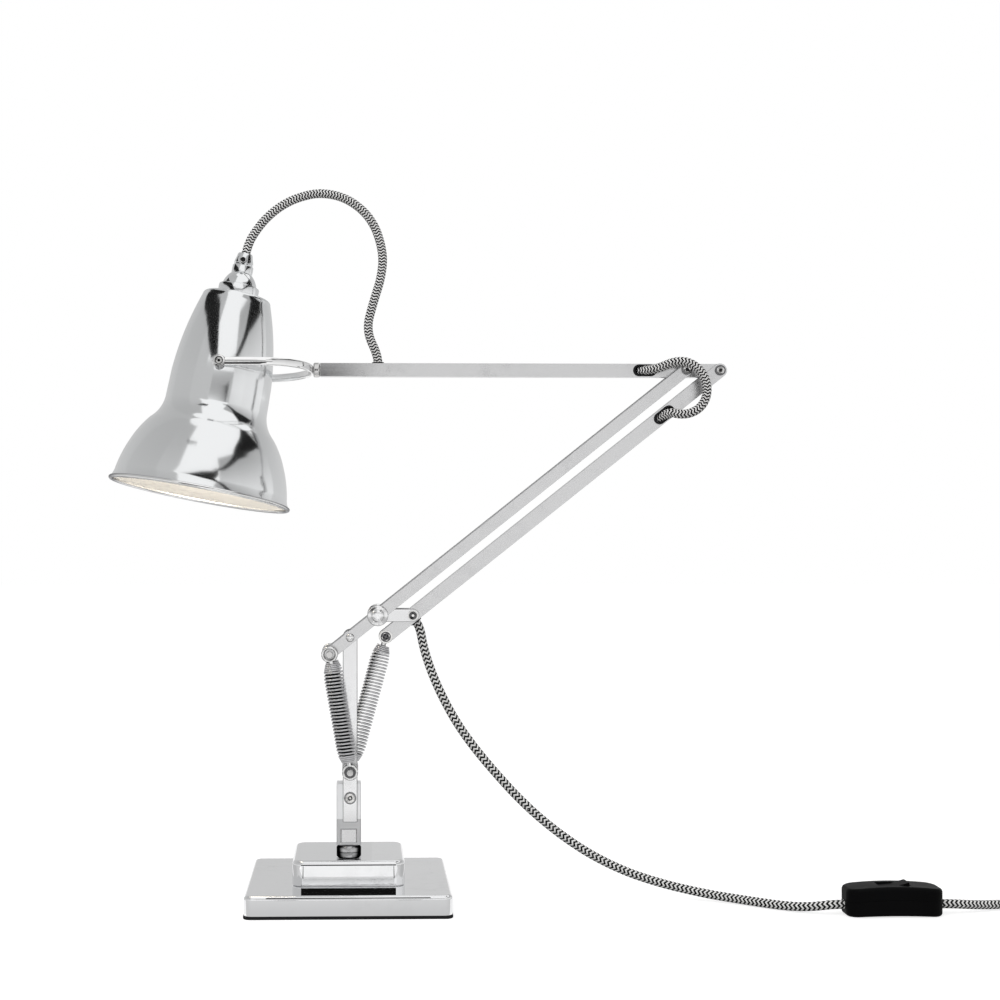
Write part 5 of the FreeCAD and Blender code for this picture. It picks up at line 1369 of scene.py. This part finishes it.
class LAMP_OT_fork(bpy.types.Operator):
    """Bent strip fork, its spigot and its lock nut"""

    bl_idname = "lamp.fork"
    bl_label = "Fork"

    def strip(self, points, half_height, half_thick, sides=20):
        """Flat bar with crowned faces, bent along points in a level plane."""
        verts, faces = [], []
        for i, point in enumerate(points):
            heading = (points[min(i + 1, len(points) - 1)] - points[max(i - 1, 0)]).normalized()
            out = heading.cross(Vector((0, 0, 1)))
            for k in range(sides):
                a = 2 * math.pi * k / sides
                c, d = math.cos(a), math.sin(a)
                verts.append(point + out * math.copysign(abs(c) ** 0.75, c) * half_thick
                             + Vector((0, 0, math.copysign(abs(d) ** 0.6, d) * half_height)))
        for i in range(len(points) - 1):
            a, b = i * sides, (i + 1) * sides
            faces += [(a + k, a + (k + 1) % sides, b + (k + 1) % sides, b + k) for k in range(sides)]
        faces += [tuple(range(sides)), tuple(range((len(points) - 1) * sides, len(points) * sides))]
        mesh = bpy.data.meshes.new("strip")
        mesh.from_pydata(verts, [], faces)
        piece = placed_mesh("strip", mesh)
        face_out(piece)
        return settle(piece, 60.0)

    def execute(self, context):
        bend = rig.box("fork")[1][0] - (FORK_R + 1.0) * MM
        level, reach = SHADE_PIVOT.z, FORK_R * MM
        tip = SHADE_PIVOT.x + 3 * MM
        leg = [Vector((tip + (bend - tip) * i / 8, -reach, level)) for i in range(8)]
        bow = [Vector((bend + reach * math.sin(math.pi * i / 40), -reach * math.cos(math.pi * i / 40), level))
               for i in range(41)]
        back = [Vector((p.x, -p.y, p.z)) for p in reversed(leg)]
        parts = [self.strip(leg + bow + back, FORK_HEIGHT / 2 * MM, FORK_THICK / 2 * MM)]
        for y in (-reach, reach):
            place = Matrix.Translation((SHADE_PIVOT.x, y, level)) @ Matrix.Rotation(math.pi / 2, 4, "X")
            parts.append(turned("fork_eye", [
                (0, -1.0), (4.7, -1.0), (5.0, -0.7), (5.0, 0.7), (4.7, 1.0), (0, 1.0)], 48, place, 40.0))
        fork = join("fork_bent", parts)
        roll = Matrix.Translation((0, 0, level)) @ Matrix.Rotation(math.radians(-SHADE_ROLL), 4, "X")
        fork.data.transform(roll @ Matrix.Translation((0, 0, -level)))
        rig.slot(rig.replaces(dress(fork, "fork_plate"), "fork"), "chrome")
        spigot = eased("fork_spigot", PIN_EDGE, "turned_steel")
        nut = eased("fork_nut", 0.0005, "turned_steel", segments=3)
        for piece in (fork, spigot, nut):
            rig.ride(piece, "fork")
        return {"FINISHED"}


class LAMP_OT_flex(bpy.types.Operator):
    """Braided flex: over the shade, round the elbow, down to the floor and on to the plug"""

    bl_idname = "lamp.flex"
    bl_label = "Flex"

    def stretch(self, name, points, start_at, sources, lay, far_end, bodies, span=None, with_pieces=(),
                pull=BRAID_LOOSE):
        """One declared stretch of flex, as long as its points, bent between two bodies or carried by one; its braid is
        pulled longer where it hangs and lies than where it is bent."""
        wide = sizes().flex_diameter
        piece = dress(tube(name, points, wide / 2, FLEX_SIDES, start_at), "braid")
        for corner in piece.data.uv_layers["Flex"].data:
            corner.uv.x *= pull
        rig.slot(piece, "braided_flex")
        if sources:
            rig.replaces(piece, *sources)
        if len(bodies) == 2:
            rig.blend(piece, *bodies, start=span[0], end=span[1])
        else:
            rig.ride(piece, bodies[0])
        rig.cord(piece, exit=points[0], length=run_length(points), diameter=wide, far_end=far_end, stiffness="limp",
                lay=lay, path=points, with_pieces=with_pieces)
        return piece

    def cut(self, points, place):
        """Index of the point nearest to a place of the route."""
        goal = Vector(place) * MM
        return min(range(len(points)), key=lambda i: (points[i] - goal).length)

    def execute(self, context):
        def metres(route):
            return [Vector(p) * MM for p in route]

        over = spline_points([shade_point(178.8), shade_point(192.8)] + metres(SHADE_ROUTE), 12)
        at = self.cut(over, (-21, 8.2, 535))
        self.stretch("shade_flex", over[:at + 1], 0.0, ["shade_loop"], "loose", "object", ("shade", "fork"),
                     (over[0], over[at]), pull=BRAID_TIGHT)
        self.stretch("fork_flex", over[at:], run_length(over[:at + 1]), [], "loose", "object",
                     ("fork", "upper_arm"), (over[at], over[-1]), pull=BRAID_TIGHT)

        bend = spline_points(metres(ELBOW_ROUTE), 12)
        self.stretch("elbow_flex", bend, 0.0, ["elbow_loop"], "loose", "object", ("upper_arm", "rear_bar"),
                     (bend[0], bend[-1]), pull=BRAID_BENT)

        drop = spline_points(metres(MAINS_ROUTE), 12)
        knee, low = self.cut(drop, (84, -4, 128)), self.cut(drop, (136, -6, 67))
        floor = self.cut(drop, (268, -18, 5.2))
        switch = [bpy.data.objects[n] for n in SWITCH_PIECES]
        self.stretch("drop_flex", drop[:knee + 1], 0.0, ["mains_flex"], "hanging", "object", ("link", "lower_arm"),
                     (drop[0], drop[knee]))
        self.stretch("hanging_flex", drop[knee:low + 1], run_length(drop[:knee + 1]), [], "hanging", "object",
                     ("lower_arm", "swivel"), (drop[knee], drop[low]))
        self.stretch("floor_flex", drop[low:], run_length(drop[:low + 1]), [], "loose", "fitting", ("swivel", "base"),
                     (drop[low], drop[floor]), switch)

        heading = (coil_place(1e-4) - coil_place(-1e-4)).normalized()
        begin = coil_place(0) - heading * 5.5
        route = [Vector(p) for p in TAIL_ROUTE] + [begin - heading * 20]
        route += [coil_place(i / COIL_STATIONS) for i in range(int(COIL_TURNS * COIL_STATIONS) + 1)]
        leave = (coil_place(COIL_TURNS) - coil_place(COIL_TURNS - 1e-4)).normalized()
        route += [coil_place(COIL_TURNS) + leave * d for d in (8.0, 16.0, 24.0)]
        tail = spline_points([p * MM for p in route], 6)
        plug = [bpy.data.objects[n] for n in PLUG_PIECES]
        self.stretch("tail_flex_braid", tail, 0.0, ["tail_flex", "coil_flex"], "coiled", "plug", ("base",), None, plug)

        wide = sizes().flex_diameter
        for source, body in (("upper_flex", "upper_arm"), ("rear_flex", "rear_bar")):
            low, high = (Vector(c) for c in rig.box(source))
            if body == "upper_arm":
                middle = (low.z + high.z) / 2
                foot, head = Vector((low.x, 0, middle)), Vector((high.x, 0, middle))
            else:
                corner = Vector((ARM_DIR.z, 0, ARM_DIR.x)) * wide / 2
                foot, head = Vector((low.x, 0, low.z)) + corner, Vector((high.x, 0, high.z)) - corner
            line = [foot.lerp(head, i / 60) for i in range(61)]
            piece = dress(tube(source + "_braid", line, wide / 2, FLEX_SIDES), "braid")
            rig.ride(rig.slot(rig.replaces(piece, source), "braided_flex"), body)
        return {"FINISHED"}


SWITCH_PIECES = ["switch_base", "switch_cover", "switch_key", "switch_screws"]
PLUG_PIECES = ["plug_case", "plug_sleeve", "plug_pins", "coil_band"]


class LAMP_OT_switch(bpy.types.Operator):
    """In-line switch and the plug at the end of the flex"""

    bl_idname = "lamp.switch"
    bl_label = "Switch and plug"

    def bow(self, piece):
        """Arch a shell of the switch along its length, its top more than its foot."""
        low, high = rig.box("switch_lower")
        middle, half, top = (low[0] + high[0]) / 2, (high[0] - low[0]) / 2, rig.box("switch_upper")[1][2]
        only(piece)
        bpy.ops.object.mode_set(mode="EDIT")
        cuts, foot_rise, top_rise = 16, 0.0010, 0.0012
        for i in range(1, cuts):
            bpy.ops.mesh.select_all(action="SELECT")
            bpy.ops.mesh.bisect(plane_co=(low[0] + 2 * half * i / cuts, 0, 0), plane_no=(1, 0, 0))
        bpy.ops.object.mode_set(mode="OBJECT")
        for vert in piece.data.vertices:
            share = max(0.0, 1 - ((vert.co.x - middle) / half) ** 2)
            vert.co.z += share * (foot_rise + top_rise * vert.co.z / top)
        settle(piece, 32.0, True)

    def execute(self, context):
        edge, key_edge, key_rise = sizes().moulded_edge, 0.0009, 0.0018
        for source, name, width, body in (
                ("switch_lower", "switch_base", edge, "base"), ("switch_upper", "switch_cover", edge, "base"),
                ("switch_rocker", "switch_key", key_edge, "rocker"), ("plug_body", "plug_case", edge, "base"),
                ("plug_relief", "plug_sleeve", PIN_EDGE, "base"), ("coil_tie", "coil_band", THIN_EDGE, "base")):
            piece = eased(source, width, "moulding", name, 4)
            if source in ("switch_lower", "switch_upper"):
                self.bow(piece)
            elif source == "switch_rocker":
                low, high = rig.box(source)
                for vert in piece.data.vertices:
                    vert.co.z += key_rise * max(0.0, (vert.co.z - low[2]) / (high[2] - low[2]) - 0.4)
            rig.ride(piece, body)
        return {"FINISHED"}


class LAMP_OT_hidden(bpy.types.Operator):
    """Finishes of the frame's own nodes that stay in view or inside"""

    bl_idname = "lamp.hidden"
    bl_label = "Inner pieces"

    def execute(self, context):
        wear = {"base_weight": "iron", "spindle_bush": "dark_steel", "plug_pins": "brass"}
        for source, original in frame["nodes"].items():
            if not original.hide_render:
                dress(original, wear.get(source, "turned_steel"))
        return {"FINISHED"}


class LAMP_OT_stage(bpy.types.Operator):
    """White room, soft lamps, dark cards for the plating to mirror, and the camera"""

    bl_idname = "lamp.stage"
    bl_label = "Stage"

    def seen(self, tree):
        """One for camera, mirror and see-through rays, and nought for the rays that only light things."""
        path = tree.nodes.new("ShaderNodeLightPath").outputs
        either = maths(tree, "MAXIMUM", path["Is Camera Ray"], path["Is Glossy Ray"])
        return maths(tree, "MAXIMUM", either, path["Is Transmission Ray"])

    def room(self):
        """World that shows white and lights softly."""
        world = bpy.data.worlds.new("White room")
        bpy.context.scene.world = world
        world.use_nodes = True
        tree = world.node_tree
        shown = tree.nodes["Background"]
        shown.inputs["Color"].default_value = (1, 1, 1, 1)
        lit = node(tree, "ShaderNodeBackground", Color=(1, 1, 1, 1), Strength=studio().daylight)
        either = tree.nodes.new("ShaderNodeMixShader")
        link(tree, self.seen(tree), either.inputs["Fac"])
        link(tree, lit.outputs[0], either.inputs[1])
        link(tree, shown.outputs[0], either.inputs[2])
        link(tree, either.outputs[0], tree.nodes["World Output"].inputs["Surface"])

    def floor(self):
        """Wide white floor that keeps the lamp's shadow."""
        clear()
        bpy.ops.mesh.primitive_plane_add(size=14.0, location=(0, 0, -0.00005))
        piece = named("floor")
        made = bpy.data.materials.new("white_floor")
        made.use_nodes = True
        tree = made.node_tree
        tree.nodes.clear()
        paper = node(tree, "ShaderNodeBsdfDiffuse", Color=(0.5, 0.5, 0.5, 1))
        glow = node(tree, "ShaderNodeEmission", Color=(1, 1, 1, 1))
        path = tree.nodes.new("ShaderNodeLightPath").outputs
        straight = maths(tree, "MULTIPLY", maths(tree, "MAXIMUM", path["Is Camera Ray"], path["Is Transmission Ray"]),
                         studio().floor_glow)
        mirrored = maths(tree, "MULTIPLY", path["Is Glossy Ray"], 0.58)
        link(tree, maths(tree, "MAXIMUM", straight, mirrored), glow.inputs["Strength"])
        both = tree.nodes.new("ShaderNodeAddShader")
        link(tree, paper.outputs[0], both.inputs[0])
        link(tree, glow.outputs[0], both.inputs[1])
        out = tree.nodes.new("ShaderNodeOutputMaterial")
        link(tree, both.outputs[0], out.inputs["Surface"])
        piece.data.materials.append(made)
        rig.stage(piece)

    def card(self, name, patch, tones, axis="Z", near=0.0):
        """Card that only mirrors see, or those nearer than a distance: a patch of places, toned along an axis."""
        clear()
        bpy.ops.mesh.primitive_grid_add(x_subdivisions=72, y_subdivisions=24, size=2)
        piece = named(name)
        for vert in piece.data.vertices:
            vert.co = patch((vert.co.x + 1) / 2, (vert.co.y + 1) / 2)
        heights = [vert.co["XYZ".index(axis)] for vert in piece.data.vertices]
        made = bpy.data.materials.new(name + "_tone")
        made.use_nodes = True
        tree = made.node_tree
        tree.nodes.clear()
        share = window(tree, parts_of(tree, own_place(tree))[axis], min(heights), max(heights))
        glow = node(tree, "ShaderNodeEmission")
        link(tree, tint(tree, share, (tones[0],) * 3, (tones[1],) * 3), glow.inputs["Color"])
        out = tree.nodes.new("ShaderNodeOutputMaterial")
        link(tree, glow.outputs[0], out.inputs["Surface"])
        if near:
            either = tree.nodes.new("ShaderNodeMixShader")
            length = tree.nodes.new("ShaderNodeLightPath").outputs["Ray Length"]
            link(tree, maths(tree, "LESS_THAN", length, near), either.inputs["Fac"])
            link(tree, tree.nodes.new("ShaderNodeBsdfTransparent").outputs[0], either.inputs[1])
            link(tree, glow.outputs[0], either.inputs[2])
            link(tree, either.outputs[0], out.inputs["Surface"])
        piece.data.materials.append(made)
        piece.visible_camera = piece.visible_diffuse = piece.visible_shadow = False
        piece.visible_transmission = False
        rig.stage(piece)

    def execute(self, context):
        s = studio()
        scene = bpy.context.scene
        scene.view_settings.view_transform = "Standard"
        self.room()
        self.floor()
        for card in CARDS:
            self.card(*card)
        for name, place, power, wide in (("key_lamp", (-0.9, -1.1, 1.7), s.key, 1.4),
                                         ("fill_lamp", (1.3, -0.9, 1.3), s.key * 0.4, 1.2)):
            lamp = bpy.data.lights.new(name, "AREA")
            lamp.energy = power
            lamp.size = wide
            holder = bpy.data.objects.new(name, lamp)
            holder.location = place
            holder.rotation_euler = (Vector((0.05, 0, 0.2)) - Vector(place)).to_track_quat("-Z", "Y").to_euler()
            holder.visible_glossy = False
            scene.collection.objects.link(holder)
        camera = bpy.data.cameras.new("camera")
        camera.lens, camera.sensor_width = s.lens, 36.0
        camera.shift_x, camera.shift_y = s.shift
        eye = bpy.data.objects.new("camera", camera)
        eye.location = s.eye
        eye.rotation_euler = (math.pi / 2, 0, -s.yaw)
        scene.collection.objects.link(eye)
        scene.camera = eye
        return {"FINISHED"}


def bearing(middle, reach, turn, height):
    """Place a reach away from a middle, at a turn from the camera's side to the right and a height, in degrees."""
    b, h = math.radians(turn), math.radians(height)
    return middle + reach * Vector((math.sin(b) * math.cos(h), -math.cos(b) * math.cos(h), math.sin(h)))


def sight(reach, *corners):
    """Patch a reach away from the shade's pivot, between four corners of turn and height."""
    def patch(u, v):
        low, high = (tuple(a + (b - a) * u for a, b in zip(*pair)) for pair in
                     ((corners[0], corners[1]), (corners[3], corners[2])))
        return bearing(SHADE_PIVOT, reach, *(a + (c - a) * v for a, c in zip(low, high)))
    return patch


def band(middle, reach, lower, upper):
    """Patch a reach away from a place, between a lower and an upper line of turns and heights."""
    def height(line, turn):
        for (b0, h0), (b1, h1) in zip(line, line[1:]):
            if turn <= b1:
                return h0 + (h1 - h0) * max(0.0, turn - b0) / (b1 - b0)
        return line[-1][1]

    def patch(u, v):
        turn = lower[0][0] + (lower[-1][0] - lower[0][0]) * u
        return bearing(middle, reach, turn, height(lower, turn) * (1 - v) + height(upper, turn) * v)
    return patch


def upright(x, wide, y, low, high):
    """Upright patch across the view: its left edge and width, its Y, and its lower and upper edge."""
    return lambda u, v: Vector((x + wide * u, y, low + (high - low) * v))


def before_base(low, high):
    """Patch before the base, over and under the line from the riser's foot to the eye."""
    y = -0.30
    level = FOOT[2] + (EYE[2] - FOOT[2]) * (FOOT[1] - y) / (FOOT[1] - EYE[1])
    return upright(-0.08, 0.16, y, level + low, level + high)


def level_patch(x, wide, y, deep, z=0.0004):
    """Level patch over the floor: its left edge and width, its front edge and depth, and its height."""
    return lambda u, v: Vector((x + wide * u, y + deep * v, z))


BLACK = (0.006, 0.010)
CROWN = shade_point(150.0)
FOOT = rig.box("base_riser")[0]
CARDS = [
    ("grey_left_back", sight(4.0, (-182, -2), (-120, -2), (-120, 78), (-182, 78)), (0.62, 0.50)),
    ("grey_left", sight(4.0, (-120, -2), (-60, -2), (-60, 78), (-120, 78)), (0.58, 0.48)),
    ("grey_left_low", band(SHADE_PIVOT, 3.9, [(-60, 4), (-13, 4)], [(-60, 34), (-36, 31), (-31, 28), (-13, 27)]),
     (0.57, 0.57)),
    ("grey_left_high", band(SHADE_PIVOT, 4.0, [(-60, 28), (-33, 29), (-26, 35), (-24.4, 42), (-23, 51), (-22, 67)],
                            [(-60, 78), (-22, 78)]), (0.57, 0.48)),
    ("grey_right_back", sight(4.0, (118, -2), (182, -2), (182, 40), (118, 40)), (0.66, 0.50)),
    ("grey_right", sight(4.0, (62, -2), (118, -2), (118, 40), (62, 40)), (0.86, 0.40)),
    ("grey_right_front", sight(4.0, (33, -2), (62, -2), (62, 40), (33, 40)), (0.90, 0.40)),
    ("dusk_front", sight(3.3, (-13, 11), (33, 6.5), (33, 14), (-13, 21)), (0.46, 0.40)),
    ("dark_left", band(CROWN, 0.15,
                       [(-112, 32), (-96, 31), (-71, 30), (-51, 24), (-35, 13), (-24, 4), (-11, 4)],
                       [(-112, 50), (-47, 43.5), (-37, 40), (-26, 30), (-18, 19), (-13, 9), (-11, 4)]),
     BLACK, "Z", 0.149),
    ("dark_right", band(SHADE_PIVOT, 0.5,
                        [(20, 20), (30, 18.5), (36, 18.5), (42, 20), (60, 25.5), (80, 25.5), (100, 25), (106, 20)],
                        [(20, 20.3), (32, 21), (43, 25), (50, 28.5), (55, 32.5), (62, 37), (69, 40), (95, 48),
                         (106, 50)]), BLACK),
    ("dark_front", band(SHADE_PIVOT, 0.25, [(-20, -25), (10, -20), (19, -1.5), (24, 2.5)],
                        [(-20, 4), (4, 7), (24, 6.8)]), BLACK),
    ("dark_foot", before_base(0.0, 0.014), BLACK),
    ("pale_foot", before_base(-0.0075, 0.0), (0.70, 0.95)),
    ("line_foot", before_base(-0.0098, -0.0078), (0.10, 0.10)),
    ("dark_brow", upright(-0.06, 0.12, FOOT[1] - 0.05, 0.0265, 0.046), BLACK, "Z", 0.060),
    ("line_left", level_patch(-0.057, 0.0175, -0.22, 0.075, 0.0008), BLACK),
    ("line_right", level_patch(0.0385, 0.0175, -0.22, 0.075, 0.0008), BLACK),
    ("floor_near", level_patch(-0.5, 1.0, -0.165, 0.0885), (0.72, 0.62), "Y"),
    ("floor_far", level_patch(-0.5, 1.0, -0.365, 0.11), (0.56, 0.48), "Y"),
    ("floor_left", level_patch(-1.3, 1.15, -1.0, 1.6), (0.52, 0.52)),
    ("floor_right", level_patch(0.15, 1.15, -1.0, 1.6), (0.52, 0.52)),
]


class LAMP_PT_panel(bpy.types.Panel):
    """Steps and settings of the architect lamp"""

    bl_idname = "LAMP_PT_panel"
    bl_label = "Architect Lamp"
    bl_space_type = "VIEW_3D"
    bl_region_type = "UI"
    bl_category = "Lamp"

    def draw(self, context):
        for step in STEPS:
            self.layout.operator(step.bl_idname)
        for group, kind in ((context.scene.lamp_sizes, LampSizes), (context.scene.lamp_colours, LampColours),
                            (context.scene.lamp_studio, LampStudio)):
            column = self.layout.box().column()
            for name in kind.__annotations__:
                column.prop(group, name)


STEPS = (
    LAMP_OT_base, LAMP_OT_post, LAMP_OT_arms, LAMP_OT_springs, LAMP_OT_shade, LAMP_OT_fork, LAMP_OT_switch,
    LAMP_OT_flex, LAMP_OT_hidden, LAMP_OT_stage,
)
CLASSES = (LampSizes, LampColours, LampStudio, *STEPS, LAMP_PT_panel)


def register():
    """Make the classes and their settings known."""
    for kind in CLASSES:
        bpy.utils.register_class(kind)
    bpy.types.Scene.lamp_sizes = bpy.props.PointerProperty(type=LampSizes)
    bpy.types.Scene.lamp_colours = bpy.props.PointerProperty(type=LampColours)
    bpy.types.Scene.lamp_studio = bpy.props.PointerProperty(type=LampStudio)


def unregister():
    """Take the classes and their settings out again."""
    del bpy.types.Scene.lamp_studio, bpy.types.Scene.lamp_colours, bpy.types.Scene.lamp_sizes
    for kind in reversed(CLASSES):
        bpy.utils.unregister_class(kind)


def main():
    """Build every piece in order, then write the sizes."""
    register()
    bpy.ops.lamp.base()
    bpy.ops.lamp.post()
    bpy.ops.lamp.arms()
    bpy.ops.lamp.springs()
    bpy.ops.lamp.shade()
    bpy.ops.lamp.fork()
    bpy.ops.lamp.switch()
    bpy.ops.lamp.flex()
    bpy.ops.lamp.hidden()
    bpy.ops.lamp.stage()
    with open("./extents.json", "w") as out:
        json.dump({"cad": [list(c) for c in CAD_BOX], "visual": [list(c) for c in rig.bounds()]}, out)


if __name__ == "__main__":
    main()
